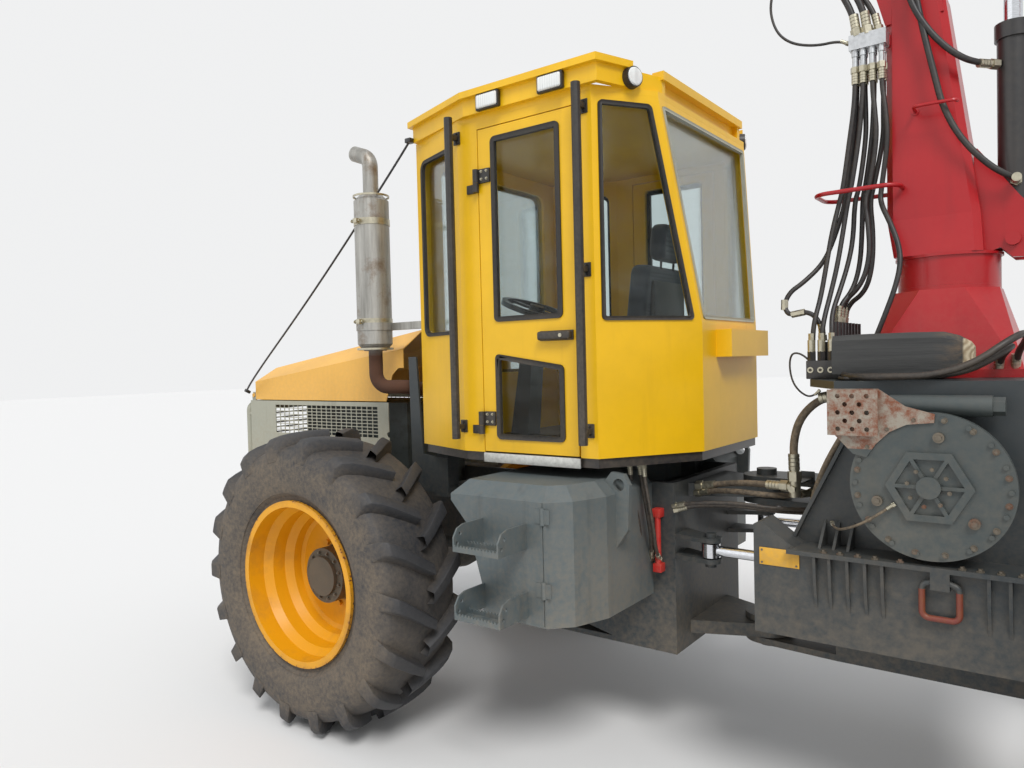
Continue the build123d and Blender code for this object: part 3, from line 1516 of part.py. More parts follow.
# Grapple: a hanging link with the rotator, a head that turns and two curved jaws
tip = along_boom(outer_length, 0, outer_frame)
rotator_top, rotator_bottom = tip.Z - 100, tip.Z - 215
jaw_pivot_x, jaw_pivot_z = 95, tip.Z - 290
jaw_length = 430
with BuildPart() as grapple_link:
    pin_y(tip.X, tip.Z, (-link_half, link_half), 40)
    block((tip.X - 34, tip.X + 34), (-link_half, link_half), (rotator_top - 10, tip.Z))
    bar((tip.X, 0, rotator_top), (tip.X, 0, rotator_bottom), 78)
    bar((tip.X, 0, rotator_bottom + 1), (tip.X, 0, rotator_bottom - 30), 30)
    pin_y(tip.X, tip.Z, (-60, 60), tip_pin_radius + pin_gap, Mode.SUBTRACT)
save(grapple_link.part, "grapple_link")
with BuildPart() as grapple_head:
    block(
        (tip.X - jaw_pivot_x - 46, tip.X + jaw_pivot_x + 46),
        (-60, 60),
        (jaw_pivot_z + 40, rotator_bottom - seat_gap),
    )
    for x in (tip.X - jaw_pivot_x, tip.X + jaw_pivot_x):
        for y in both(38, 60):
            pin_y(x, jaw_pivot_z, y, 44)
            block((x - 40, x + 40), y, (jaw_pivot_z, jaw_pivot_z + 60))
        pin_y(x, jaw_pivot_z, (-66, 66), 18)
    # Slots that the jaws' middle plates swing up into
    for x in ((tip.X - 160, tip.X - 72), (tip.X + 72, tip.X + 160)):
        block(x, (-38, 38), (jaw_pivot_z + 30, rotator_bottom + 1), Mode.SUBTRACT)
        middle = tip.X + (jaw_pivot_x if x[0] > tip.X else -jaw_pivot_x)
        pin_y(middle, jaw_pivot_z, (-39, 39), 18)
    bar((tip.X, 0, rotator_bottom - 40), (tip.X, 0, rotator_bottom), 30 + pin_gap, Mode.SUBTRACT)
save(grapple_head.part, "grapple_head")
for side, name in ((1, "front"), (-1, "rear")):
    outline = (
        (jaw_pivot_x - 34, 26),
        (jaw_pivot_x + 30, 34),
        (250, -70),
        (305, -190),
        (270, -300),
        (150, -395),
        (3, -jaw_length),
        (3, -jaw_length + 26),
        (120, -350),
        (205, -275),
        (225, -190),
        (180, -100),
        (jaw_pivot_x, -50),
        (jaw_pivot_x - 34, -30),
    )
    points = [(tip.X + side * x, jaw_pivot_z + z) for x, z in outline]
    with BuildPart() as jaw:
        side_plate(points, (-32, 32))
        for y in both(90, 125):
            side_plate(points[2:12], y)
        waist = (232, -110), (292, -190), (262, -270), (222, -240), (228, -190), (200, -120)
        side_plate([(tip.X + side * x, jaw_pivot_z + z) for x, z in waist], (-125, 125))
        pin_y(tip.X + side * jaw_pivot_x, jaw_pivot_z, (-40, 40), 18 + pin_gap, Mode.SUBTRACT)
    save(jaw.part, f"jaw_{name}")

# Rear shield on two arms, with its lift cylinders
shield_foot = Vector(-2800, 350, 1180)
shield_eye = Vector(-3230, 350, 800)
shield_along = (shield_eye - shield_foot).normalized()
arm_y = 420, 450
with BuildPart() as rear_shield:
    side_plate(
        (
            (-half_length, 420),
            (-3300, 700),
            (-3290, shield_top_z),
            (-3268, shield_top_z),
            (-3278, 700),
            (-half_length + 24, 420),
        ),
        (-shield_half_width, shield_half_width),
    )
    for y in (-1100, -700, -230, 210, 680, 1080):
        side_plate(
            (
                (-3279, 690),
                (-3269, shield_top_z),
                (-3240, shield_top_z),
                (-3225, 700),
                (-3320, 440),
                (-3345, 450),
            ),
            (y, y + 20),
        )
    for y in both(*arm_y):
        side_plate(
            (
                (shield_hinge_x + 60, shield_hinge_z),
                (shield_hinge_x, shield_hinge_z + 64),
                (-3286, 860),
                (-3286, 600),
                (shield_hinge_x, shield_hinge_z - 64),
            ),
            y,
        )
    for y in (*both(312, 324), *both(376, 388)):
        side_plate(
            (
                (-3286, 720),
                (-3286, 880),
                (shield_eye.X + 30, shield_eye.Z + 30),
                (shield_eye.X + 30, shield_eye.Z - 30),
            ),
            y,
        )
    pin_y(shield_hinge_x, shield_hinge_z, (-500, 500), 30 + pin_gap, Mode.SUBTRACT)
save(rear_shield.part, "rear_shield")
shield_barrel_length = 400
with BuildPart() as shield_barrel:
    bar(shield_foot, shield_foot + shield_along * shield_barrel_length, 36)
    pin_y(shield_foot.X, shield_foot.Z, (324, 376), 38)
    mouth = shield_foot + shield_along * (shield_barrel_length + 1)
    bar(shield_foot + shield_along * 60, mouth, 22 + pin_gap, Mode.SUBTRACT)
    pin_y(shield_foot.X, shield_foot.Z, (310, 390), 18 + pin_gap, Mode.SUBTRACT)
with BuildPart() as shield_barrels:
    add(shield_barrel.part)
    add(mirror(shield_barrel.part, about=Plane.XZ))
save(shield_barrels.part, "shield_barrels")
with BuildPart() as shield_rod:
    bar(shield_foot + shield_along * 190, shield_eye, 22)
    pin_y(shield_eye.X, shield_eye.Z, (330, 370), 32)
with BuildPart() as shield_rods:
    add(shield_rod.part)
    add(mirror(shield_rod.part, about=Plane.XZ))
save(shield_rods.part, "shield_rods")
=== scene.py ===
import math

import bmesh
import bpy
from mathutils import Matrix, Vector


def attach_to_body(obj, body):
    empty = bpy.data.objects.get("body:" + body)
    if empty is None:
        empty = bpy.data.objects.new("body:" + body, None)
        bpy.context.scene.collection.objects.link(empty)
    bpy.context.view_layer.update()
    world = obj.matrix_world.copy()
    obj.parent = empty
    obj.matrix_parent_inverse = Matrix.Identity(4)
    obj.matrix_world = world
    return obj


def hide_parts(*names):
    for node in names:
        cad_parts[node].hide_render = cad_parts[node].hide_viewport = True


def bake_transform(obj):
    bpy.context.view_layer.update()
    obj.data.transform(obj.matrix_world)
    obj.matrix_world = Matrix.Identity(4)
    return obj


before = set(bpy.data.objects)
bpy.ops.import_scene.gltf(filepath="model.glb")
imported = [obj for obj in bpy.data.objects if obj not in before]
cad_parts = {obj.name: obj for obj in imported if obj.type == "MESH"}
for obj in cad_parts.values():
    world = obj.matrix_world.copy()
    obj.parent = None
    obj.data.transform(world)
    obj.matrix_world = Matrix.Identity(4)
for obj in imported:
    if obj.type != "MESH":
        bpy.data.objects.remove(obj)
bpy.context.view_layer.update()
print("frame loaded:", len(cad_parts), "nodes")

across = Vector((0, 1, 0))
upward = Vector((0, 0, 1))
forward = Vector((1, 0, 0))


def tint(red, green, blue):  # screen colour 0 to 255, made linear
    def linear(part):
        part = part / 255
        return part / 12.92 if part < 0.04045 else ((part + 0.055) / 1.055) ** 2.4
    return (linear(red), linear(green), linear(blue), 1.0)


def shade(colour, amount):
    return (*(min(1.0, part * amount) for part in colour[:3]), 1.0)


# Camera, floor and light
camera = {
    "place": (-1.204, 3.56, 1.82),
    "heading": (0.6018, -0.7986),
    "pitch": -1.65,
    "roll": 1.43,
    "lens": 26.93,
}


def setCamera():
    pitch = math.radians(camera["pitch"])
    roll = math.radians(camera["roll"])
    heading = Vector((*camera["heading"], 0)).normalized()
    sight = heading * math.cos(pitch) + upward * math.sin(pitch)
    levelRight = sight.cross(upward).normalized()
    levelUp = levelRight.cross(sight)
    right = levelRight * math.cos(roll) - levelUp * math.sin(roll)
    top = levelUp * math.cos(roll) + levelRight * math.sin(roll)
    data = bpy.data.cameras.new("camera")
    data.lens = camera["lens"]
    data.clip_end = 200
    view = bpy.data.objects.new("camera", data)
    turn = Matrix((right, top, -sight)).transposed().to_4x4()
    view.matrix_world = Matrix.Translation(camera["place"]) @ turn
    bpy.context.collection.objects.link(view)
    bpy.context.scene.camera = view


studio = {
    "backdrop": (0.87, 0.875, 0.88),
    "floor": (0.80, 0.79, 0.775),
    "sky": 0.66,
    "sunPower": 2.0,
    "sunAngle": 22,
    "sunFrom": (-0.50, 0.52, 0.80),
    "fillPower": 0.35,
    "fillFrom": (0.65, 0.75, 0.35),
}


def setStudio():
    scene = bpy.context.scene
    scene.view_settings.view_transform = "Standard"
    world = bpy.data.worlds.new("studio")
    scene.world = world
    world.use_nodes = True
    tree = world.node_tree
    tree.nodes.clear()
    rays = tree.nodes.new("ShaderNodeLightPath")
    seen = tree.nodes.new("ShaderNodeMath")
    seen.operation = "MAXIMUM"
    shown = tree.nodes.new("ShaderNodeMath")
    shown.operation = "MAXIMUM"
    tree.links.new(rays.outputs["Is Camera Ray"], seen.inputs[0])
    tree.links.new(rays.outputs["Is Glossy Ray"], seen.inputs[1])
    tree.links.new(seen.outputs[0], shown.inputs[0])
    tree.links.new(rays.outputs["Is Transmission Ray"], shown.inputs[1])
    lit = tree.nodes.new("ShaderNodeBackground")
    lit.inputs["Color"].default_value = (0.93, 0.96, 1.0, 1)
    lit.inputs["Strength"].default_value = studio["sky"]
    plain = tree.nodes.new("ShaderNodeBackground")
    plain.inputs["Color"].default_value = (*studio["backdrop"], 1)
    mixed = tree.nodes.new("ShaderNodeMixShader")
    out = tree.nodes.new("ShaderNodeOutputWorld")
    tree.links.new(shown.outputs[0], mixed.inputs[0])
    tree.links.new(lit.outputs[0], mixed.inputs[1])
    tree.links.new(plain.outputs[0], mixed.inputs[2])
    tree.links.new(mixed.outputs[0], out.inputs[0])
    for name, power, source, angle in (
        ("sun", studio["sunPower"], studio["sunFrom"], studio["sunAngle"]),
        ("fill", studio["fillPower"], studio["fillFrom"], 60),
    ):
        data = bpy.data.lights.new(name, "SUN")
        data.energy = power
        data.angle = math.radians(angle)
        lamp = bpy.data.objects.new(name, data)
        lamp.matrix_world = Vector(source).to_track_quat("Z", "Y").to_matrix().to_4x4()
        bpy.context.collection.objects.link(lamp)


class Wire:  # a shader value that adds its own maths nodes
    def __init__(self, graph, socket):
        self.graph = graph
        self.socket = socket

    def sum(self, operation, first, second=None):
        return self.graph.node("ShaderNodeMath", {"operation": operation}, {0: first, 1: second})

    def __add__(self, other):
        return self.sum("ADD", self, other)

    def __radd__(self, other):
        return self.sum("ADD", other, self)

    def __sub__(self, other):
        return self.sum("SUBTRACT", self, other)

    def __rsub__(self, other):
        return self.sum("SUBTRACT", other, self)

    def __mul__(self, other):
        return self.sum("MULTIPLY", self, other)

    def __rmul__(self, other):
        return self.sum("MULTIPLY", other, self)

    def absolute(self):
        return self.sum("ABSOLUTE", self)

    def wave(self):
        return self.sum("SINE", self)


class Graph:  # one material and its nodes
    def __init__(self, name):
        self.material = bpy.data.materials.new(name)
        self.material.use_nodes = True
        self.tree = self.material.node_tree
        self.tree.nodes.clear()
        self.place = self.node("ShaderNodeTexCoord", output="Object")

    def node(self, kind, settings=None, inputs=None, output=0):
        made = self.tree.nodes.new(kind)
        for key, value in (settings or {}).items():
            setattr(made, key, value)
        for key, value in (inputs or {}).items():
            if isinstance(value, Wire):
                self.tree.links.new(value.socket, made.inputs[key])
            elif value is not None:
                made.inputs[key].default_value = value
        return Wire(self, made.outputs[output])

    def axis(self, letter):
        return self.node("ShaderNodeSeparateXYZ", None, {0: self.place}, letter)

    def stretched(self, size):
        return self.node("ShaderNodeMapping", None, {"Vector": self.place, "Scale": size})

    def noise(self, scale, detail=5, rough=0.6, place=None):
        values = {"Vector": place or self.place, "Scale": scale, "Detail": detail, "Roughness": rough}
        return self.node("ShaderNodeTexNoise", None, values)

    def step(self, value, low, high):
        values = {"Value": value, "From Min": low, "From Max": high}
        return self.node("ShaderNodeMapRange", {"clamp": True}, values)

    def mix(self, mask, first, second):
        return self.node("ShaderNodeMix", {"data_type": "RGBA"}, {0: mask, 6: first, 7: second}, 2)

    def fromPoint(self, centre, size):
        near = self.node("ShaderNodeMapping", None, {"Vector": self.place, "Location": [-c for c in centre]})
        scaled = self.node("ShaderNodeVectorMath", {"operation": "MULTIPLY"}, {0: near, 1: size})
        return self.node("ShaderNodeVectorMath", {"operation": "LENGTH"}, {0: scaled}, "Value")

    def bump(self, height, distance, strength):
        values = {"Strength": strength, "Distance": distance, "Height": height}
        return self.node("ShaderNodeBump", None, values)

    def surface(self, values):
        shader = self.node("ShaderNodeBsdfPrincipled", None, values)
        self.close(shader)
        return self.material

    def close(self, shader):
        out = self.tree.nodes.new("ShaderNodeOutputMaterial")
        self.tree.links.new(shader.socket, out.inputs[0])


# Painted steel: tone, rain streaks, dust from below, chips with rust, fine orange peel
dustColour = tint(150, 132, 108)
rustColour = tint(112, 62, 36)
paints = {
    "machineYellow": {"colour": tint(236, 184, 0), "dust": 0.16, "dustTop": 1.5, "dustLow": 0.5,
                      "streaks": 0.16, "rust": 0.15, "rough": 0.40, "coat": 0.12,
                      "streakColour": tint(150, 100, 20)},
    "rimYellow": {"colour": tint(226, 158, 10), "dust": 0.55, "dustTop": 1.3, "dustLow": 0.2,
                  "streaks": 0.30, "rust": 0.40, "rough": 0.46, "coat": 0.1,
                  "streakColour": tint(140, 84, 30)},
    "hoodYellow": {"colour": tint(240, 182, 78), "dust": 0.35, "dustTop": 1.9, "dustLow": 1.4,
                   "streaks": 0.20, "rust": 0.15, "rough": 0.48, "coat": 0.1,
                   "streakColour": tint(205, 150, 60)},
    "frameGrey": {"colour": tint(46, 53, 56), "dust": 0.34, "dustTop": 1.5, "dustLow": 0.5,
                  "streaks": 0.55, "rust": 0.55, "rough": 0.50, "coat": 0.1,
                  "streakColour": tint(46, 44, 40),
                  "bare": ((-0.90, -0.735), (0.752, 0.83), (0.90, 1.045), tint(118, 52, 44))},
    "boxGrey": {"colour": tint(88, 98, 100), "dust": 0.50, "dustTop": 1.5, "dustLow": 0.5,
                "streaks": 0.45, "rust": 0.55, "rough": 0.46, "coat": 0.1,
                "streakColour": tint(52, 54, 52)},
    "panelGrey": {"colour": tint(168, 168, 152), "dust": 0.55, "dustTop": 1.7, "dustLow": 1.1,
                  "streaks": 0.45, "rust": 0.35, "rough": 0.55, "coat": 0.0,
                  "streakColour": tint(104, 100, 88)},
    "craneRed": {"colour": tint(170, 8, 20), "dust": 0.12, "dustTop": 2.3, "dustLow": 1.5,
                 "streaks": 0.22, "rust": 0.20, "rough": 0.34, "coat": 0.15,
                 "streakColour": tint(110, 16, 20)},
    "winchGrey": {"colour": tint(66, 74, 74), "dust": 0.26, "dustTop": 1.8, "dustLow": 0.9,
                  "streaks": 0.40, "rust": 0.40, "rough": 0.46, "coat": 0.1,
                  "streakColour": tint(58, 60, 56),
                  "bare": ((-0.81, -0.48), (0.776, 0.86), (1.495, 1.75), tint(150, 142, 128))},
    "blackEnamel": {"colour": tint(34, 34, 36), "dust": 0.40, "dustTop": 1.8, "dustLow": 0.6,
                    "streaks": 0.30, "rust": 0.15, "rough": 0.38, "coat": 0.2,
                    "streakColour": tint(70, 64, 56)},
    "shieldSteel": {"colour": tint(84, 88, 86), "dust": 0.70, "dustTop": 1.2, "dustLow": 0.4,
                    "streaks": 0.60, "rust": 0.90, "rough": 0.52, "coat": 0.0,
                    "streakColour": tint(60, 50, 42)},
    "guardYellow": {"colour": tint(228, 170, 30), "dust": 0.50, "dustTop": 1.5, "dustLow": 0.8,
                    "streaks": 0.40, "rust": 0.60, "rough": 0.48, "coat": 0.1,
                    "streakColour": tint(120, 80, 30)},
    "brightRed": {"colour": tint(196, 30, 26), "dust": 0.35, "dustTop": 1.4, "dustLow": 0.6,
                  "streaks": 0.30, "rust": 0.40, "rough": 0.45, "coat": 0.1,
                  "streakColour": tint(90, 30, 22)},
}


def enamel(name):
    look = paints[name]
    g = Graph(name)
    height = g.axis("Z")
    cloud = g.noise(1.6, 6, 0.62)
    fine = g.noise(42, 4, 0.6)
    runs = g.noise(1.0, 5, 0.62, g.stretched((15, 15, 1.1)))
    chip = g.noise(26, 6, 0.75)
    colour = g.mix(g.step(cloud, 0.32, 0.70), shade(look["colour"], 0.88), shade(look["colour"], 1.08))
    colour = g.mix(g.step(runs, 0.54, 0.80) * look["streaks"], colour, look["streakColour"])
    low = g.step(height, look["dustTop"], look["dustLow"])
    patch = g.step(cloud * 0.55 + fine * 0.45, 0.38, 0.60)
    dust = (0.12 + low * 0.88) * patch * look["dust"]
    colour = g.mix(dust, colour, dustColour)
    if "bare" in look:
        (x0, x1), (y0, y1), (z0, z1), bareColour = look["bare"]
        inside = 1.0
        for letter, start, end in (("X", x0, x1), ("Z", z0, z1)):
            place = g.axis(letter)
            inside = inside * g.step(place, start, start + 0.001) * g.step(place, end, end - 0.001)
        place = g.axis("Y").absolute()
        inside = inside * g.step(place, y0, y0 + 0.001) * g.step(place, y1, y1 - 0.001)
        colour = g.mix(inside, colour, g.mix(g.step(chip, 0.40, 0.62), bareColour, shade(rustColour, 1.2)))
    edge = g.step(chip + cloud * 0.35, 1.0 - 0.16 * look["rust"], 1.02 - 0.14 * look["rust"])
    halo = g.step(chip + cloud * 0.35, 0.93 - 0.16 * look["rust"], 1.02 - 0.14 * look["rust"])
    colour = g.mix(halo * 0.35 * look["rust"], colour, shade(rustColour, 1.3))
    colour = g.mix(edge, colour, rustColour)
    rough = look["rough"] + dust * 0.4 + edge * 0.35 + fine * 0.05
    relief = fine * 0.25 - edge * 0.9 + dust * 0.3
    return g.surface({
        "Base Color": colour, "Roughness": rough, "Coat Weight": look["coat"] - edge * look["coat"],
        "Coat Roughness": 0.18, "Normal": g.bump(relief, 0.0006, 0.6),
    })


def steel(name, colour, rough, rustAmount, metallic, grain=(1, 1, 1)):
    g = Graph(name)
    cloud = g.noise(4, 6, 0.65)
    fine = g.noise(60, 5, 0.6, g.stretched(grain))
    rust = g.step(cloud * 0.7 + fine * 0.3, 0.72 - 0.3 * rustAmount, 0.86 - 0.3 * rustAmount)
    shown = g.mix(g.step(fine, 0.3, 0.7), shade(colour, 0.82), shade(colour, 1.12))
    shown = g.mix(rust, shown, rustColour)
    return g.surface({
        "Base Color": shown, "Metallic": metallic - rust * metallic,
        "Roughness": rough + rust * 0.4 + fine * 0.12, "Normal": g.bump(fine, 0.0004, 0.5),
    })


def rubber(name, colour, dust, rough, dustTop, dustLow, ribs=0.0):
    g = Graph(name)
    cloud = g.noise(2.4, 6, 0.65)
    fine = g.noise(70, 4, 0.6)
    low = g.step(g.axis("Z"), dustTop, dustLow)
    film = (0.3 + low * 0.7) * g.step(cloud * 0.6 + fine * 0.4, 0.36, 0.62) * dust
    shown = g.mix(film, g.mix(fine, shade(colour, 0.8), shade(colour, 1.25)), dustColour)
    relief = fine * 0.3
    if ribs:
        band = (g.axis("Z") * ribs).wave().absolute()
        relief = relief + band * 3
    return g.surface({
        "Base Color": shown, "Roughness": rough + film * 0.3, "Normal": g.bump(relief, 0.0012, 0.7),
    })


# Tyre rubber: dry earth on the side wall and between the lugs, bare black on the lugs' tops
def tyreRubber(name, centre):
    g = Graph(name)
    radius = g.fromPoint(centre, (1, 0, 1))
    cloud = g.noise(3.2, 6, 0.66)
    fine = g.noise(55, 5, 0.65)
    crumbs = g.noise(150, 3, 0.7)
    bare = tint(46, 48, 52)
    earth = tint(124, 110, 92)
    side = g.step(radius, 0.70, 0.60)
    hollow = g.step(radius, 0.735, 0.700)
    film = (0.10 + side * 0.50 + hollow * 0.25) * g.step(cloud * 0.55 + fine * 0.45, 0.34, 0.64)
    rings = (radius * 700).wave() * g.step(radius, 0.66, 0.62) * g.step(radius, 0.43, 0.47)
    shown = g.mix(fine, shade(bare, 0.75), shade(bare, 1.3))
    shown = g.mix(film, shown, earth)
    shown = g.mix(g.step(crumbs, 0.62, 0.75) * side * 0.35, shown, shade(earth, 1.25))
    return g.surface({
        "Base Color": shown, "Roughness": 0.60 + film * 0.35,
        "Normal": g.bump(fine * 0.5 + rings * 0.12 + crumbs * film, 0.0016, 0.6),
    })


def rimPaint(name, centre):
    look = paints["rimYellow"]
    g = Graph(name)
    radius = g.fromPoint(centre, (1, 0, 1))
    cloud = g.noise(4, 6, 0.65)
    fine = g.noise(60, 5, 0.6)
    hub = g.step(radius, 0.150, 0.142)
    lip = g.step(radius, 0.395, 0.412)
    grime = g.step(cloud + lip * 0.10, 0.50, 0.74) * 0.6
    colour = g.mix(cloud, shade(look["colour"], 0.86), shade(look["colour"], 1.08))
    colour = g.mix(grime, colour, tint(150, 104, 50))
    scrape = g.step(fine + lip * 0.14, 0.70, 0.76)
    colour = g.mix(scrape * lip, colour, rustColour)
    colour = g.mix(hub, colour, g.mix(cloud, tint(58, 54, 48), tint(112, 98, 78)))
    return g.surface({
        "Base Color": colour, "Roughness": 0.44 + grime * 0.3 + hub * 0.25,
        "Normal": g.bump(fine * 0.4 - scrape * lip, 0.0006, 0.6),
    })


def mufflerSteel():
    g = Graph("mufflerSteel")
    height = g.axis("Z")
    cloud = g.noise(5, 6, 0.7)
    streak = g.noise(1, 6, 0.7, g.stretched((26, 26, 2.2)))
    burnt = g.step(height, 1.93, 1.87)
    colour = g.mix(g.step(streak, 0.3, 0.7), tint(132, 130, 124), tint(186, 184, 178))
    colour = g.mix(g.step(cloud, 0.56, 0.70) * 0.7, colour, tint(112, 88, 62))
    colour = g.mix(burnt, colour, g.mix(cloud, tint(52, 38, 30), tint(98, 62, 42)))
    clean = 1 - burnt
    return g.surface({
        "Base Color": colour, "Metallic": clean * 0.65, "Roughness": 0.42 + burnt * 0.4 + streak * 0.15,
        "Normal": g.bump(streak * 0.5 + burnt * cloud * 2, 0.0008, 0.6),
    })


def timber():
    g = Graph("restTimber")
    along = g.axis("X")
    grain = g.noise(1, 7, 0.68, g.stretched((1.6, 38, 38)))
    rings = (g.fromPoint((-0.86, 0.44, 1.80), (0, 1, 1)) * 420 + g.noise(9, 4, 0.6) * 9).wave()
    worn = g.step(along + g.noise(6, 4, 0.6) * 0.12, -0.70, -0.84)
    bark = g.mix(grain, tint(34, 35, 36), tint(78, 78, 76))
    bark = g.mix(worn * g.step(grain, 0.42, 0.62) * 0.7, bark, tint(126, 100, 70))
    cut = g.mix(rings * 0.5 + 0.5, tint(150, 132, 104), tint(196, 182, 154))
    endGrain = g.step(along, -0.852, -0.858)
    return g.surface({
        "Base Color": g.mix(endGrain, bark, cut), "Roughness": 0.72 + grain * 0.15,
        "Normal": g.bump(grain + rings * 0.1, 0.003, 0.8),
    })


def ropeSteel():
    g = Graph("ropeSteel")
    twist = (g.axis("Y") * 900 + g.axis("Z") * 500 + g.axis("X") * 500).wave()
    cloud = g.noise(9, 5, 0.7)
    colour = g.mix(cloud, tint(66, 58, 50), tint(124, 114, 100))
    return g.surface({
        "Base Color": colour, "Metallic": 0.55, "Roughness": 0.5 + cloud * 0.2,
        "Normal": g.bump(twist, 0.002, 0.7),
    })


def glazing(name, tone, haze, mirror):
    g = Graph(name)
    smear = g.noise(3, 6, 0.7, g.stretched((1, 1, 2.4)))
    film = g.step(smear, 0.45, 0.80) * haze
    rim = g.node("ShaderNodeLayerWeight", None, {"Blend": 0.22}, "Fresnel")
    clear = g.node("ShaderNodeBsdfTransparent", None, {"Color": tone})
    pane = g.node("ShaderNodeBsdfPrincipled", None, {
        "Base Color": tint(196, 204, 206), "Roughness": 0.04 + film * 0.3, "Metallic": 0.0,
        "Specular IOR Level": 0.9,
    })
    shine = g.node("ShaderNodeBsdfGlossy", None, {"Color": (1, 1, 1, 1), "Roughness": 0.02})
    body = g.node("ShaderNodeMixShader", None, {0: film, 1: clear, 2: pane})
    g.close(g.node("ShaderNodeMixShader", None, {0: rim * mirror, 1: body, 2: shine}))
    return g.material


def cloth(name, colour):
    g = Graph(name)
    weave = (g.axis("X") * 1500).wave() * (g.axis("Y") * 1500).wave() + (g.axis("Z") * 1500).wave() * 0.5
    cloud = g.noise(9, 5, 0.6)
    return g.surface({
        "Base Color": g.mix(cloud, shade(colour, 0.75), shade(colour, 1.25)), "Roughness": 0.88,
        "Sheen Weight": 0.3, "Normal": g.bump(weave + cloud * 2, 0.0008, 0.6),
    })


def lampLens():
    g = Graph("lampLens")
    flutes = (g.axis("X") * 520).wave()
    dust = g.noise(8, 5, 0.6)
    return g.surface({
        "Base Color": g.mix(dust, tint(214, 216, 212), tint(244, 246, 244)), "Roughness": 0.16,
        "Coat Weight": 0.8, "Normal": g.bump(flutes, 0.002, 0.5),
    })


def oilyIron():
    g = Graph("oilyIron")
    cloud = g.noise(5, 6, 0.7)
    fine = g.noise(70, 4, 0.6)
    oil = g.step(cloud, 0.48, 0.66)
    colour = g.mix(oil, tint(74, 80, 78), tint(30, 27, 24))
    return g.surface({
        "Base Color": colour, "Roughness": 0.62 - oil * 0.32, "Metallic": 0.25,
        "Normal": g.bump(fine + cloud, 0.0016, 0.7),
    })


metals = {  # colour, roughness, rust, metallic, grain
    "chromeRod": (tint(214, 216, 220), 0.10, 0.10, 1.0, (1, 1, 6)),
    "zincFitting": (tint(186, 180, 160), 0.34, 0.30, 0.9),
    "manifoldAluminium": (tint(196, 198, 200), 0.38, 0.02, 0.9),
    "sillAluminium": (tint(206, 206, 200), 0.42, 0.10, 0.6),
    "boltSteel": (tint(120, 112, 100), 0.45, 0.75, 0.8),
}
rubbers = {  # colour, dust, roughness, height where dust starts, height where it is full, ribs
    "hoseRubber": (tint(28, 28, 31), 0.35, 0.46, 2.0, 1.1),
    "dustyHose": (tint(40, 38, 36), 0.85, 0.62, 2.2, 1.4),
    "wrappedHose": (tint(30, 30, 33), 0.45, 0.40, 2.6, 1.4, 330.0),
    "sealRubber": (tint(20, 21, 22), 0.25, 0.55, 2.4, 1.0),
    "blackPlastic": (tint(26, 27, 29), 0.30, 0.42, 2.6, 1.0),
}


def makeMaterials():
    made = {name: enamel(name) for name in paints}
    made["mufflerSteel"] = mufflerSteel()
    made["restTimber"] = timber()
    made["ropeSteel"] = ropeSteel()
    made["oilyIron"] = oilyIron()
    made["lampLens"] = lampLens()
    made.update({name: steel(name, *look) for name, look in metals.items()})
    made.update({name: rubber(name, *look) for name, look in rubbers.items()})
    made["safetyGlass"] = glazing("safetyGlass", (0.84, 0.88, 0.88, 1), 0.04, 0.55)
    made["rearSheet"] = glazing("rearSheet", (0.80, 0.88, 0.94, 1), 0.35, 0.5)
    made["seatCloth"] = cloth("seatCloth", tint(44, 46, 52))
    return made


materials = makeMaterials()
print("materials made:", len(materials))

nodeFinish = {
    "machineYellow": ("cab_shell", "cab_roof", "door_left", "door_right"),
    "hoodYellow": ("hood",),
    "frameGrey": ("front_chassis", "front_axle", "rear_chassis", "rear_axle"),
    "boxGrey": ("side_boxes", "steps"),
    "panelGrey": ("engine_side_panels",),
    "craneRed": ("crane_base", "crane_column", "main_boom", "outer_boom", "boom_extension", "grapple_head",
                 "jaw_front", "jaw_rear"),
    "winchGrey": ("winch_housing",),
    "mufflerSteel": ("exhaust",),
    "restTimber": ("rest_beam",),
    "ropeSteel": ("winch_drum",),
    "oilyIron": ("engine_block",),
    "blackEnamel": ("valve_block", "lift_barrel", "fold_barrel", "shield_barrels", "grapple_link",
                    "steering_barrel_left", "steering_barrel_right", "cab_floor", "handrails",
                    "steering_column"),
    "chromeRod": ("lift_rod", "fold_rod", "shield_rods", "steering_rod_left", "steering_rod_right"),
    "shieldSteel": ("rear_shield",),
    "safetyGlass": ("cab_glass", "door_glass_left", "door_glass_right"),
    "lampLens": ("work_lamps",),
    "manifoldAluminium": ("hose_manifold",),
    "seatCloth": ("seat",),
}


def coat(node, material):
    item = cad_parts[node]
    item.data.materials.clear()
    item.data.materials.append(material)


for finish, nodes in nodeFinish.items():
    for node in nodes:
        coat(node, materials[finish])


# Building blocks for bmesh pieces
def finishPiece(name, bm, body, finish, sharp=32):
    mesh = bpy.data.meshes.new(name)
    bmesh.ops.recalc_face_normals(bm, faces=bm.faces)
    bm.to_mesh(mesh)
    bm.free()
    for polygon in mesh.polygons:
        polygon.use_smooth = True
    mesh.set_sharp_from_angle(angle=math.radians(sharp))
    piece = bpy.data.objects.new(name, mesh)
    bpy.context.collection.objects.link(piece)
    mesh.materials.append(finish if isinstance(finish, bpy.types.Material) else materials[finish])
    if body:
        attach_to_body(piece, body)
    return piece


def aim(place, direction, roll=0.0):
    turn = Vector(direction).to_track_quat("Z", "Y").to_matrix().to_4x4()
    return Matrix.Translation(place) @ turn @ Matrix.Rotation(roll, 4, "Z")


def addBox(bm, low, high, edge, steps=2):
    low, high = Vector(low), Vector(high)
    size = Matrix.Diagonal((*(high - low), 1))
    made = bmesh.ops.create_cube(bm, size=1, matrix=Matrix.Translation((low + high) / 2) @ size)
    edges = {link for vert in made["verts"] for link in vert.link_edges}
    bmesh.ops.bevel(bm, geom=list(edges), offset=edge, segments=steps, profile=0.5,
                    affect="EDGES", material=-1)


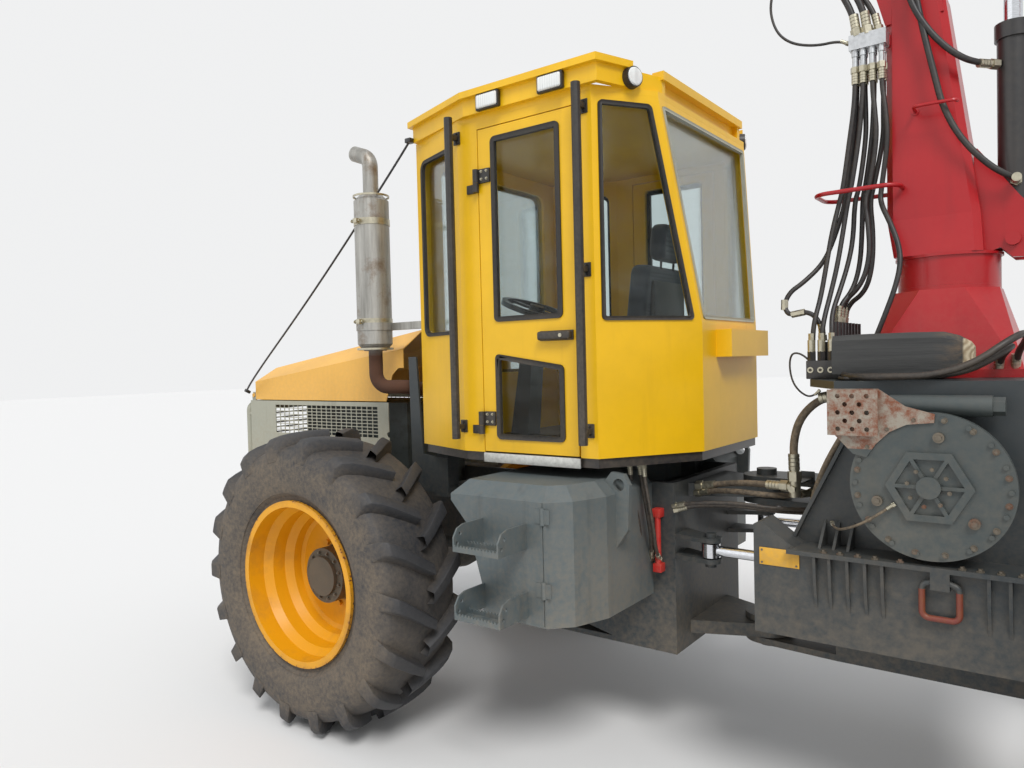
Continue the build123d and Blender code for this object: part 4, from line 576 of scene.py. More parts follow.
def addRod(bm, start, end, radius, sides=16, endRadius=None):
    start, end = Vector(start), Vector(end)
    run = end - start
    bmesh.ops.create_cone(bm, cap_ends=True, segments=sides, radius1=radius,
                          radius2=radius if endRadius is None else endRadius, depth=run.length,
                          matrix=aim((start + end) / 2, run))


def addBolt(bm, place, direction, size=0.012, washer=True):
    place, direction = Vector(place), Vector(direction).normalized()
    if washer:
        addRod(bm, place, place + direction * size * 0.25, size * 1.25, 12)
    bmesh.ops.create_cone(bm, cap_ends=True, segments=6, radius1=size, radius2=size * 0.94,
                          depth=size * 0.9, matrix=aim(place + direction * size * 0.6, direction))
    addRod(bm, place + direction * size, place + direction * size * 1.5, size * 0.5, 8)


def spunProfile(bm, points, centre, axis, steps):
    verts = [bm.verts.new(point) for point in points]
    edges = [bm.edges.new(pair) for pair in zip(verts, verts[1:])]
    bmesh.ops.spin(bm, geom=verts + edges, cent=centre, axis=axis, angle=2 * math.pi,
                   steps=steps, use_merge=True, use_duplicate=False)
    bmesh.ops.remove_doubles(bm, verts=bm.verts, dist=0.00005)


def routeCurve(points, radius, kind, sides):
    data = bpy.data.curves.new("route", "CURVE")
    data.dimensions = "3D"
    data.resolution_u = 10
    data.bevel_depth = radius
    data.bevel_resolution = sides
    data.use_fill_caps = True
    spline = data.splines.new(kind)
    spline.points.add(len(points) - 1)
    for control, point in zip(spline.points, points):
        control.co = (*point, 1)
    if kind == "NURBS":
        spline.order_u = 3
        spline.use_endpoint_u = True
    return data


def curveMesh(points, radius=0.0, kind="NURBS", sides=3):
    data = routeCurve(points, radius, kind, sides)
    holder = bpy.data.objects.new("route", data)
    bpy.context.collection.objects.link(holder)
    bpy.context.view_layer.update()
    evaluated = holder.evaluated_get(bpy.context.evaluated_depsgraph_get())
    mesh = bpy.data.meshes.new_from_object(evaluated)
    bpy.data.objects.remove(holder)
    bpy.data.curves.remove(data)
    return mesh


def addPipe(bm, points, radius, kind="NURBS", sides=3):
    mesh = curveMesh(points, radius, kind, sides)
    bm.from_mesh(mesh)
    bpy.data.meshes.remove(mesh)


# Tyres: a carcass with side rings and shoulder, and bent lugs that wrap over the shoulder
tyre = {
    "lugs": 18, "steps": 120,
    "profile": (  # distance from the middle, radius
        (0.190, 0.3955), (0.196, 0.432), (0.214, 0.450), (0.221, 0.452), (0.2255, 0.461), (0.2320, 0.478),
        (0.2375, 0.510), (0.2400, 0.552), (0.2395, 0.590), (0.2370, 0.600), (0.2370, 0.606), (0.2345, 0.616),
        (0.2260, 0.642), (0.2150, 0.660), (0.1900, 0.676), (0.1300, 0.689), (0.0600, 0.697), (0.0, 0.700),
    ),
    "lug": (  # distance from the middle, turn in degrees, width, top radius, bottom radius
        (-0.012, 0.0, 0.050, 0.749, 0.690), (0.060, 3.4, 0.054, 0.748, 0.686),
        (0.120, 6.6, 0.057, 0.745, 0.680), (0.170, 9.1, 0.060, 0.739, 0.668),
        (0.212, 11.0, 0.064, 0.727, 0.645), (0.236, 12.0, 0.066, 0.696, 0.610),
        (0.2385, 12.2, 0.050, 0.636, 0.606),
    ),
}


def buildTyre(name, body, node, centre, side):
    bm = bmesh.new()
    half = list(tyre["profile"])
    outline = half + [(-y, r) for y, r in reversed(half[:-1])]
    points = [Vector((0, y, r)) for y, r in outline]
    spunProfile(bm, points, (0, 0, 0), across, tyre["steps"])
    for flank in (1, -1):
        lug = bmesh.new()
        bmesh.ops.create_grid(lug, x_segments=1, y_segments=1, size=0.5)
        corners = sorted(lug.verts, key=lambda vert: math.atan2(vert.co.y, vert.co.x))
        flat = [vert.co.copy() for vert in corners]
        for i, (y, turn, width, top, bottom) in enumerate(tyre["lug"]):
            if i:
                last = [face for face in lug.faces if all(vert in corners for vert in face.verts)]
                grown = bmesh.ops.extrude_face_region(lug, geom=last)
                bmesh.ops.delete(lug, geom=last, context="FACES_ONLY")
                fresh = [item for item in grown["geom"] if isinstance(item, bmesh.types.BMVert)]
                corners = [min(fresh, key=lambda vert: (vert.co - old.co).length) for old in corners]
            turned = Matrix.Rotation(math.radians(turn), 4, "Y")
            for vert, corner in zip(corners, flat):
                radius = top if corner.y > 0 else bottom
                flare = 1.0 if corner.y > 0 else 1.35
                vert.co = turned @ Vector((corner.x * width * flare, flank * y, radius))
        bmesh.ops.recalc_face_normals(lug, faces=lug.faces)
        top = [edge for edge in lug.edges if edge.calc_face_angle(0) > 0.5]
        bmesh.ops.bevel(lug, geom=top, offset=0.0055, segments=2, profile=0.5, affect="EDGES", material=-1)
        first = 0 if flank > 0 else 180 / tyre["lugs"]
        stagger = Matrix.Rotation(math.radians(first), 3, "Y")
        bmesh.ops.rotate(lug, verts=lug.verts, cent=(0, 0, 0), matrix=stagger)
        piece = bpy.data.meshes.new("lug")
        lug.to_mesh(piece)
        lug.free()
        for i in range(tyre["lugs"]):
            turn = Matrix.Rotation(2 * math.pi * i / tyre["lugs"], 4, "Y")
            piece.transform(turn)
            bm.from_mesh(piece)
            piece.transform(turn.inverted())
        bpy.data.meshes.remove(piece)
    bmesh.ops.rotate(bm, verts=bm.verts, cent=(0, 0, 0), matrix=Matrix.Rotation(math.pi, 3, "Y"))
    if side < 0:
        bmesh.ops.scale(bm, verts=bm.verts, vec=(1, -1, 1))
    bmesh.ops.translate(bm, verts=bm.verts, vec=centre)
    made = finishPiece(name, bm, body, tyreRubber(name + "Rubber", centre), 28)
    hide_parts(node)


wheelX, wheelY, wheelZ = 1.93, 1.01, 0.75
hubBolts = {"count": 12, "circle": 0.118, "face": 1.040, "size": 0.009}


def buildWheels():
    for end, x in (("front", wheelX), ("rear", -wheelX)):
        for side, flank in (("left", 1), ("right", -1)):
            centre = Vector((x, flank * wheelY, wheelZ))
            body = f"wheel_{end}_{side}"
            buildTyre(f"{end}{side.title()}Tyre", body, f"tyre_{end}_{side}", centre, flank)
            coat(f"rim_{end}_{side}", rimPaint(f"{end}{side.title()}Rim", centre))
            bm = bmesh.new()
            for i in range(hubBolts["count"]):
                angle = 2 * math.pi * (i + 0.5) / hubBolts["count"]
                spot = centre + Vector((math.cos(angle), 0, math.sin(angle))) * hubBolts["circle"]
                spot.y = flank * hubBolts["face"]
                addBolt(bm, spot, across * flank, hubBolts["size"])
            finishPiece(f"{end}{side.title()}HubBolts", bm, body, "boltSteel")


# Window seals: rounded black rings on the walls' own planes
pane = {"rear": (0.16, 0.342), "side": (0.445, 0.78), "front": (1.18, 0.78), "nose": (1.60, 0.62)}
rearLean = math.atan2(0.110, 0.970)
cabMiddle = 0.8


def wallPlane(origin, along, up, flank):
    along, up = Vector(along).normalized(), Vector(up).normalized()
    out = along.cross(up)
    if out.dot(Vector((origin[0] - cabMiddle, origin[1], 0))) < 0:
        out = -out
    plane = Matrix((along, up, out)).transposed().to_4x4()
    plane.translation = origin
    return Matrix.Scale(flank, 4, across) @ plane


def cornerPlane(start, end, flank):
    start, end = Vector((*pane[start], 0)), Vector((*pane[end], 0))
    return wallPlane(start, end - start, upward, flank)


def addRing(bm, plane, points, radius, width, depth):
    ring = bmesh.new()
    ring.faces.new([ring.verts.new((x, y, -0.012)) for x, y in points])
    bmesh.ops.bevel(ring, geom=list(ring.verts), offset=radius, segments=6, profile=0.5,
                    affect="VERTICES", material=-1)
    middle = ring.faces[:][0]
    bmesh.ops.inset_region(ring, faces=[middle], thickness=width, use_boundary=True, use_even_offset=True)
    bmesh.ops.delete(ring, geom=[middle], context="FACES_ONLY")
    raised = bmesh.ops.extrude_face_region(ring, geom=ring.faces[:])
    top = [item for item in raised["geom"] if isinstance(item, bmesh.types.BMVert)]
    bmesh.ops.translate(ring, verts=top, vec=(0, 0, depth + 0.012))
    bmesh.ops.recalc_face_normals(ring, faces=ring.faces)
    lip = [face for face in ring.faces if face.normal.z > 0.9]
    lap = min(seals["lap"], width * 0.4)
    bmesh.ops.inset_region(ring, faces=lip, thickness=lap, depth=-0.003, use_boundary=True,
                           use_even_offset=True)
    bmesh.ops.transform(ring, matrix=plane, verts=ring.verts)
    piece = bpy.data.meshes.new("ring")
    ring.to_mesh(piece)
    ring.free()
    bm.from_mesh(piece)
    bpy.data.meshes.remove(piece)


seals = {
    "noseWindow": {"points": ((-0.48, 1.76), (0.48, 1.76), (0.48, 2.86), (-0.48, 2.86)), "radius": 0.06},
    "frontCorner": {"points": ((0.055, 1.96), (0.394, 1.96), (0.394, 2.86), (0.055, 2.86)), "radius": 0.05},
    "rearCorner": {"points": ((0.04, 1.985), (0.493, 1.985), (0.493, 2.905), (0.238, 2.905)),
                   "radius": 0.022},
    "rearWindow": {"points": ((-0.322, 0.02), (0.322, 0.02), (0.485, 0.946), (-0.485, 0.946)),
                   "radius": 0.022},
    "doorUpper": {"points": ((0.605, 2.005), (0.98, 2.005), (0.98, 2.85), (0.605, 2.85)), "radius": 0.025},
    "doorLower": {"points": ((0.605, 1.465), (0.98, 1.465), (0.98, 1.86), (0.605, 1.80)), "radius": 0.025},
    "width": 0.018, "doorWidth": 0.024, "depth": 0.007, "lap": 0.007,
}


def addSeal(bm, plane, window, width):
    look = seals[window]
    addRing(bm, plane, look["points"], look["radius"], width, seals["depth"])


def buildSeals():
    bm = bmesh.new()
    addSeal(bm, wallPlane((1.60, 0, 0), across, upward, 1), "noseWindow", seals["width"])
    for flank in (1, -1):
        addSeal(bm, cornerPlane("front", "nose", flank), "frontCorner", seals["width"])
        addSeal(bm, cornerPlane("rear", "side", flank), "rearCorner", seals["width"])
    finishPiece("windowSeals", bm, "front_frame", "sealRubber", 40)
    bm = bmesh.new()
    up = Vector((math.sin(rearLean), 0, math.cos(rearLean)))
    look = seals["rearWindow"]
    addRing(bm, wallPlane((0.16, 0, 1.97), across, up, 1), look["points"], look["radius"], 0.016, 0.005)
    finishPiece("rearSheetFrame", bm, "front_frame", "panelGrey", 40)
    for side, flank in (("left", 1), ("right", -1)):
        bm = bmesh.new()
        plane = wallPlane((0, 0.78, 0), forward, upward, flank)
        addSeal(bm, plane, "doorUpper", seals["doorWidth"])
        addSeal(bm, plane, "doorLower", seals["doorWidth"])
        finishPiece(f"{side}DoorSeals", bm, f"door_{side}", "sealRubber", 40)


# Door handles, hinge straps, sills, rail brackets and lamp bezels
def mirrored(low, high, flank):
    (x0, y0, z0), (x1, y1, z1) = low, high
    return (x0, min(flank * y0, flank * y1), z0), (x1, max(flank * y0, flank * y1), z1)


hingeHeights = (1.53, 2.65)


def buildDoorTrim():
    for side, flank in (("left", 1), ("right", -1)):
        bm = bmesh.new()
        addBox(bm, *mirrored((0.553, 0.778, 1.908), (0.727, 0.790, 1.952), flank), 0.004)
        addBox(bm, *mirrored((0.556, 0.786, 1.911), (0.724, 0.8165, 1.949), flank), 0.009, 3)
        for z in hingeHeights:
            addBox(bm, *mirrored((0.985, 0.779, z - 0.003), (1.050, 0.7915, z + 0.063), flank), 0.004)
            addRod(bm, (1.06, flank * 0.796, z + 0.0005), (1.06, flank * 0.796, z + 0.062), 0.0145, 20)
        finishPiece(f"{side}DoorHandle", bm, f"door_{side}", "blackPlastic")
        bm = bmesh.new()
        addRod(bm, (0.600, flank * 0.815, 1.93), (0.600, flank * 0.820, 1.93), 0.0085, 20)
        for z in (1.545, 1.58, 2.665, 2.70):
            for x in (1.000, 1.030):
                addBolt(bm, (x, flank * 0.791, z), across * flank, 0.0055)
        finishPiece(f"{side}DoorLock", bm, f"door_{side}", "zincFitting")
        bm = bmesh.new()
        for z in hingeHeights:
            addRod(bm, (1.06, flank * 0.796, z - 0.042), (1.06, flank * 0.796, z - 0.001), 0.0145, 20)
            addBox(bm, *mirrored((1.064, 0.779, z - 0.043), (1.122, 0.7905, z - 0.001), flank), 0.004)
        for x in (1.18, 0.48):
            for z in (1.52, 2.88) if x > 1 else (1.52, 2.88, 2.2):
                for near, far, wide, tall in ((0.779, 0.787, 0.020, 0.030), (0.784, 0.842, 0.012, 0.012)):
                    low, high = (x - wide, near, z - tall), (x + wide, far, z + tall)
                    addBox(bm, *mirrored(low, high, flank), 0.003)
                addBolt(bm, (x, flank * 0.786, z + 0.020), across * flank, 0.006)
                addBolt(bm, (x, flank * 0.786, z - 0.020), across * flank, 0.006)
            addPipe(bm, [(x, flank * 0.842, z) for z in (1.464, 2.000, 2.964)], 0.020)
        rails = finishPiece(f"{side}RailBrackets", bm, "front_frame", "blackPlastic")
        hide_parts("handrails")
        bm = bmesh.new()
        addBox(bm, *mirrored((0.530, 0.779, 1.356), (1.060, 0.788, 1.400), flank), 0.003)
        for i in range(6):
            x = 0.56 + 0.094 * i
            addRod(bm, (x, flank * 0.788, 1.378), (x, flank * 0.7895, 1.378), 0.005, 12)
        finishPiece(f"{side}Sill", bm, "front_frame", "sillAluminium")


lamp = {"spots": (0.62, 0.96), "height": 3.002, "half": (0.060, 0.034), "roundRadius": 0.046}


def buildLamps():
    bezels, lenses = bmesh.new(), bmesh.new()
    for flank in (1, -1):
        for x in lamp["spots"]:
            z, (wide, tall) = lamp["height"], lamp["half"]
            for bm, near, far, wider, taller, edge in (
                (bezels, 0.806, 0.829, 0.006, 0.003, (0.006, 2)),
                (lenses, 0.815, 0.8375, -0.002, -0.004, (0.008, 4)),
            ):
                low = (x - wide - wider, near, z - tall - taller)
                high = (x + wide + wider, far, z + tall + taller)
                addBox(bm, *mirrored(low, high, flank), *edge)
        run = Vector((0.400 - 0.275, 0.805 - 0.460, 0))
        out = Vector((-run.y, run.x, 0)).normalized()
        middle = Vector((0.3375, 0.6325, lamp["height"]))
        rounds = ((bezels, 0.001, 0.030, lamp["roundRadius"]), (lenses, 0.020, 0.037, 0.040))
        for bm, near, far, radius in rounds:
            ends = [middle + out * reach for reach in (near, far)]
            for end in ends:
                end.y *= flank
            addRod(bm, *ends, radius, 40, radius * 0.93)
    rim = [edge for edge in lenses.edges if len(edge.link_faces) == 2 and edge.calc_face_angle(0) > 1]
    bmesh.ops.bevel(lenses, geom=rim, offset=0.006, segments=4, profile=0.5, affect="EDGES", material=-1)
    finishPiece("lampBezels", bezels, "front_frame", "blackPlastic")
    glasses = finishPiece("lampLenses", lenses, "front_frame", "lampLens")
    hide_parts("work_lamps")


# Hoses: a tube on one smooth line, crimped ends and spiral guards
coupled = ("craneHose1", "craneHose2", "craneHose3")  # their lower ends meet the sleeves


def sampledLine(points):
    mesh = curveMesh(points)
    line = [vert.co.copy() for vert in mesh.vertices]
    bpy.data.meshes.remove(mesh)
    return line


def addEnd(bm, place, onward, diameter):
    onward = onward.normalized()
    long = 3.4  # crimped end's length in diameters
    radius = diameter / 2
    addRod(bm, place - onward * diameter * 0.1, place + onward * diameter * 1.1, radius * 1.75, 6)
    addRod(bm, place + onward * diameter, place + onward * diameter * 1.35, radius * 1.25, 16)
    for i in range(4):
        start = place + onward * diameter * (1.3 + i * (long - 1.3) / 4)
        stop = start + onward * diameter * (long - 1.3) / 4.6
        addRod(bm, start, stop, radius * 1.38, 18)


def addSpiral(bm, line, radius, thick, pitch):
    steps = 9
    fine, left = [line[0]], 0.0
    for a, b in zip(line, line[1:]):
        run = (b - a).length
        while left < run:
            fine.append(a.lerp(b, left / run))
            left += pitch / steps
        left -= run
    side = (fine[1] - fine[0]).orthogonal().normalized()
    coil = []
    for i, (a, b) in enumerate(zip(fine, fine[1:])):
        along = (b - a).normalized()
        side = (side - along * side.dot(along)).normalized()
        turns = 2 * math.pi * i / steps
        coil.append(a + (side * math.cos(turns) + along.cross(side) * math.sin(turns)) * radius)
    addPipe(bm, coil, thick, kind="POLY", sides=1)


columnBend = ((-0.75, 0, 1.95), (-0.75, 0, 2.40))
boomBend = ((-0.45, 0, 3.22), (-0.62, 0, 3.68))
jointBend = ((0.12, 0, 1.2), (-0.16, 0, 1.2))
hoses = {
    "craneHose1": {"guard": (1.97, 2.33), "points": (
        (-0.440, 0.152, 2.990), (-0.440, 0.152, 2.905), (-0.433, 0.163, 2.800), (-0.421, 0.170, 2.706),
        (-0.397, 0.185, 2.508), (-0.383, 0.190, 2.447), (-0.359, 0.220, 2.322), (-0.343, 0.250, 2.184),
        (-0.327, 0.280, 2.051), (-0.314, 0.320, 1.965), (-0.307, 0.334, 1.890), (-0.309, 0.334, 1.790))},
    "craneHose2": {"guard": (1.98, 2.32), "points": (
        (-0.470, 0.152, 2.990), (-0.470, 0.152, 2.905), (-0.463, 0.160, 2.800), (-0.455, 0.165, 2.700),
        (-0.426, 0.175, 2.505), (-0.412, 0.180, 2.444), (-0.397, 0.200, 2.319), (-0.381, 0.230, 2.182),
        (-0.361, 0.260, 2.066), (-0.347, 0.310, 1.965), (-0.343, 0.334, 1.890), (-0.343, 0.334, 1.790))},
    "craneHose3": {"guard": (2.02, 2.33), "points": (
        (-0.470, 0.118, 2.990), (-0.470, 0.118, 2.905), (-0.474, 0.126, 2.800), (-0.475, 0.135, 2.700),
        (-0.452, 0.150, 2.505), (-0.432, 0.150, 2.446), (-0.427, 0.160, 2.291), (-0.412, 0.190, 2.183),
        (-0.390, 0.230, 2.080), (-0.374, 0.295, 1.985), (-0.382, 0.334, 1.900), (-0.382, 0.334, 1.790))},
    "craneHose4": {"guard": (2.04, 2.30), "points": (
        (-0.505, 0.118, 2.990), (-0.505, 0.118, 2.905), (-0.502, 0.124, 2.800), (-0.497, 0.130, 2.700),
        (-0.468, 0.120, 2.508), (-0.457, 0.120, 2.468), (-0.455, 0.130, 2.321), (-0.449, 0.145, 2.183),
        (-0.427, 0.175, 2.080), (-0.384, 0.230, 2.010), (-0.380, 0.234, 1.950))},
    "craneHose5": {"guard": (2.04, 2.38), "points": (
        (-0.505, 0.152, 2.990), (-0.505, 0.152, 2.905), (-0.515, 0.163, 2.800), (-0.524, 0.170, 2.686),
        (-0.492, 0.162, 2.497), (-0.475, 0.170, 2.437), (-0.491, 0.190, 2.350), (-0.502, 0.210, 2.212),
        (-0.470, 0.215, 2.095), (-0.387, 0.184, 2.030), (-0.380, 0.180, 1.950))},
    "craneHose6": {"guard": (2.04, 2.33), "points": (
        (-0.540, 0.118, 2.990), (-0.540, 0.118, 2.905), (-0.541, 0.130, 2.800), (-0.543, 0.143, 2.687),
        (-0.503, 0.138, 2.499), (-0.488, 0.138, 2.439), (-0.501, 0.148, 2.313), (-0.500, 0.160, 2.176),
        (-0.470, 0.152, 2.070), (-0.388, 0.128, 2.020), (-0.380, 0.126, 1.950))},
    "craneHose7": {"guard": (2.00, 2.36), "points": (
        (-0.540, 0.152, 2.990), (-0.540, 0.152, 2.905), (-0.555, 0.163, 2.800), (-0.565, 0.170, 2.678),
        (-0.537, 0.160, 2.490), (-0.532, 0.170, 2.428), (-0.576, 0.210, 2.336), (-0.610, 0.240, 2.249),
        (-0.623, 0.262, 2.168), (-0.607, 0.290, 2.070), (-0.572, 0.315, 1.960), (-0.530, 0.320, 1.850),
        (-0.490, 0.318, 1.800), (-0.432, 0.300, 1.795))},
    "craneHose8": {"guard": (2.04, 2.27), "rods": (
        ((-0.182, 0.281, 2.052), (-0.181, 0.283, 2.010), 0.0145, 8),
        ((-0.213, 0.291, 1.988), (-0.268, 0.295, 1.996), 0.0140, 6)), "points": (
        (-0.440, 0.118, 2.990), (-0.440, 0.118, 2.905), (-0.436, 0.128, 2.800), (-0.430, 0.138, 2.711),
        (-0.398, 0.120, 2.519), (-0.382, 0.122, 2.428), (-0.347, 0.140, 2.303), (-0.313, 0.180, 2.201),
        (-0.248, 0.240, 2.122), (-0.200, 0.268, 2.085), (-0.178, 0.282, 2.030), (-0.200, 0.290, 1.985),
        (-0.250, 0.294, 2.000), (-0.305, 0.298, 1.985), (-0.335, 0.298, 1.930), (-0.338, 0.298, 1.876))},
}
for look in hoses.values():
    look.update({"diameter": 0.020, "bodies": ("rear_frame", "crane_column"), "bend": columnBend})
hoses.update({
    "boomLoop1": {"diameter": 0.026, "bodies": ("crane_column", "main_boom"), "bend": boomBend, "points": (
        (-0.450, 0.152, 3.118), (-0.440, 0.154, 3.200), (-0.380, 0.158, 3.330), (-0.335, 0.150, 3.500),
        (-0.390, 0.140, 3.670), (-0.560, 0.130, 3.760), (-0.780, 0.118, 3.740), (-0.960, 0.104, 3.640),
        (-1.060, 0.092, 3.590))},
    "boomLoop2": {"diameter": 0.026, "bodies": ("crane_column", "main_boom"), "bend": boomBend, "points": (
        (-0.490, 0.152, 3.118), (-0.482, 0.156, 3.200), (-0.425, 0.165, 3.330), (-0.385, 0.160, 3.490),
        (-0.430, 0.150, 3.630), (-0.570, 0.140, 3.710), (-0.780, 0.122, 3.690), (-0.960, 0.104, 3.590),
        (-1.060, 0.092, 3.545))},
    "boomLoop3": {"diameter": 0.022, "bodies": ("crane_column", "main_boom"), "bend": boomBend, "points": (
        (-0.530, 0.135, 3.118), (-0.515, 0.140, 3.200), (-0.440, 0.128, 3.320), (-0.390, 0.122, 3.480),
        (-0.440, 0.118, 3.600), (-0.580, 0.112, 3.665), (-0.780, 0.104, 3.640), (-0.960, 0.100, 3.545),
        (-1.060, 0.092, 3.500))},
    "pilotLoop": {"diameter": 0.011, "bodies": ("crane_column", "main_boom"),
                  "bend": ((-0.45, 0, 3.22), (-0.62, 0, 3.60)), "points": (
        (-0.418, 0.150, 3.095), (-0.387, 0.158, 3.115), (-0.292, 0.180, 3.110), (-0.194, 0.200, 3.140),
        (-0.131, 0.205, 3.212), (-0.109, 0.205, 3.336), (-0.170, 0.195, 3.480), (-0.330, 0.170, 3.560),
        (-0.500, 0.130, 3.550), (-0.640, 0.104, 3.545), (-0.720, 0.086, 3.540))},
    "liftUpper": {"diameter": 0.024, "bodies": ("crane_column", "lift_barrel"),
                  "bend": ((-0.74, 0, 3.02), (-0.90, 0, 2.94)), "points": (
        (-0.600, 0.116, 3.430), (-0.606, 0.140, 3.360), (-0.620, 0.155, 3.290), (-0.639, 0.160, 3.230),
        (-0.669, 0.165, 3.142), (-0.732, 0.165, 3.030), (-0.811, 0.145, 2.943), (-0.880, 0.090, 2.917),
        (-0.925, 0.040, 2.917))},
    "liftLower": {"diameter": 0.024, "bodies": ("crane_column", "lift_barrel"),
                  "bend": ((-0.82, 0, 2.62), (-0.94, 0, 2.48)), "points": (
        (-0.640, 0.116, 3.430), (-0.645, 0.135, 3.360), (-0.660, 0.150, 3.248), (-0.696, 0.165, 3.049),
        (-0.732, 0.170, 2.881), (-0.756, 0.172, 2.765), (-0.814, 0.170, 2.630), (-0.900, 0.155, 2.520),
        (-0.965, 0.130, 2.470), (-0.990, 0.095, 2.460), (-0.985, 0.056, 2.460))},
    "deckHose1": {"diameter": 0.024, "bodies": ("rear_frame",), "points": (
        (-0.990, 0.250, 1.725), (-0.995, 0.262, 1.800), (-1.030, 0.340, 1.850), (-1.040, 0.460, 1.880),
        (-1.000, 0.570, 1.855), (-0.900, 0.620, 1.775), (-0.780, 0.640, 1.738), (-0.650, 0.640, 1.735),
        (-0.540, 0.600, 1.735), (-0.470, 0.520, 1.737), (-0.440, 0.430, 1.760), (-0.418, 0.340, 1.790))},
    "deckHose2": {"diameter": 0.024, "bodies": ("rear_frame",), "points": (
        (-0.940, 0.275, 1.725), (-0.945, 0.285, 1.785), (-0.980, 0.360, 1.825), (-1.000, 0.470, 1.835),
        (-0.960, 0.550, 1.800), (-0.880, 0.580, 1.752), (-0.780, 0.600, 1.736), (-0.660, 0.595, 1.735),
        (-0.560, 0.560, 1.735), (-0.500, 0.500, 1.736), (-0.475, 0.420, 1.750), (-0.428, 0.300, 1.750))},
    "beamHose": {"diameter": 0.012, "bodies": ("rear_frame",), "points": (
        (-0.420, 0.330, 1.735), (-0.435, 0.430, 1.733), (-0.455, 0.530, 1.729), (-0.500, 0.580, 1.728),
        (-0.560, 0.540, 1.728))},
    "pilotCable": {"diameter": 0.008, "bodies": ("rear_frame",), "points": (
        (-0.322, 0.322, 1.750), (-0.290, 0.340, 1.810), (-0.228, 0.330, 1.835), (-0.206, 0.315, 1.790),
        (-0.212, 0.300, 1.710), (-0.245, 0.290, 1.660), (-0.290, 0.285, 1.640), (-0.320, 0.285, 1.672))},
    "jointMain": {"diameter": 0.028, "bodies": ("front_frame", "rear_frame"),
                  "finish": "dustyHose", "bend": jointBend, "rods": (
        ((-0.218, 0.300, 1.225), (-0.218, 0.300, 1.300), 0.024, 24),
        ((-0.180, 0.297, 1.267), (-0.222, 0.303, 1.267), 0.021, 6),
        ((-0.218, 0.300, 1.262), (-0.218, 0.345, 1.262), 0.015, 6)), "points": (
        (0.250, 0.215, 1.222), (0.190, 0.225, 1.232), (0.100, 0.245, 1.250), (0.000, 0.265, 1.262),
        (-0.100, 0.285, 1.266), (-0.190, 0.300, 1.268))},
    "jointSecond": {"diameter": 0.024, "bodies": ("front_frame", "rear_frame"),
                    "finish": "dustyHose", "bend": jointBend, "points": (
        (0.260, 0.208, 1.190), (0.190, 0.232, 1.205), (0.100, 0.280, 1.222), (0.000, 0.312, 1.230),
        (-0.100, 0.300, 1.222), (-0.195, 0.230, 1.216), (-0.250, 0.128, 1.222))},
    "winchFeed": {"diameter": 0.033, "bodies": ("rear_frame",), "finish": "dustyHose", "points": (
        (-0.218, 0.300, 1.296), (-0.216, 0.300, 1.380), (-0.216, 0.300, 1.460), (-0.240, 0.300, 1.550),
        (-0.300, 0.300, 1.620), (-0.370, 0.298, 1.650), (-0.430, 0.296, 1.662))},
    "legHose": {"diameter": 0.022, "bodies": ("rear_frame",), "finish": "dustyHose", "points": (
        (-0.345, 0.560, 1.140), (-0.355, 0.560, 1.240), (-0.395, 0.560, 1.370), (-0.450, 0.560, 1.480),
        (-0.500, 0.560, 1.560), (-0.530, 0.588, 1.590))},
    "discHose": {"diameter": 0.009, "bodies": ("rear_frame",), "finish": "dustyHose", "points": (
        (-0.452, 0.640, 1.205), (-0.480, 0.720, 1.200), (-0.530, 0.790, 1.215), (-0.600, 0.806, 1.250),
        (-0.655, 0.806, 1.292), (-0.690, 0.792, 1.318))},
})
for i, (side, low) in enumerate(((0.225, 1.150), (0.260, 1.170), (-0.225, 1.150), (-0.260, 1.175))):
    flank = math.copysign(1, side)
    hoses[f"steeringHose{i + 1}"] = {
        "diameter": 0.018, "bodies": ("front_frame", "rear_frame"), "bend": jointBend, "points": (
            (0.300, flank * 0.375, low - 0.02), (0.230, side * 1.45, low), (0.120, side * 1.40, low + 0.01),
            (0.000, side * 1.30, low + 0.012), (-0.110, side * 1.20, low),
            (-0.210, side * 0.95, low - 0.008), (-0.300, flank * 0.150, low - 0.015),
            (-0.345, flank * 0.138, low - 0.02)),
    }
for i, (x, y) in enumerate(((0.44, 0.52), (0.40, 0.50), (0.36, 0.54))):
    hoses[f"cabHose{i + 1}"] = {
        "diameter": 0.016, "bodies": ("front_frame",), "points": (
            (x, y, 1.356), (x - 0.005, y, 1.280), (x - 0.030, y + 0.010, 1.180),
            (x - 0.040, y - 0.010, 1.060), (x - 0.020, y - 0.060, 0.970), (x, 0.398, 0.900))}
for i, y in enumerate((0.078, 0.100)):
    hoses[f"elbowHose{i + 1}"] = {
        "diameter": 0.020, "bodies": ("main_boom", "outer_boom"),
        "bend": ((-2.80, 0, 3.765), (-2.80, 0, 3.52)), "points": (
            (-2.560, 0.090, 3.800 - 0.03 * i), (-2.660, y + 0.012, 3.825 - 0.03 * i),
            (-2.800, 0.130 + y * 0.2, 3.850 - 0.03 * i), (-2.930, 0.140 + y * 0.2, 3.800),
            (-2.960, 0.140 + y * 0.2, 3.700), (-2.880, 0.125 + y * 0.2, 3.590), (-2.760, y + 0.018, 3.480),
            (-2.680 + 0.02 * i, 0.078, 3.390 + 0.02 * i))}
for i, flank in enumerate((1, -1)):
    hoses[f"grappleHose{i + 1}"] = {
        "diameter": 0.016, "bodies": ("boom_extension", "grapple_link"),
        "bend": ((-2.06, 0, 2.74), (-2.04, 0, 2.56)), "points": (
            (-2.120, flank * 0.066, 2.800), (-2.085, flank * 0.090, 2.770), (-2.020, flank * 0.125, 2.730),
            (-1.960, flank * 0.140, 2.660), (-1.945, flank * 0.130, 2.580), (-1.965, flank * 0.100, 2.530),
            (-2.000, flank * 0.062, 2.520))}


def attach(piece, look):
    if len(look["bodies"]) == 2:
        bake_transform(piece)
    else:
        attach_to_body(piece, look["bodies"][0])


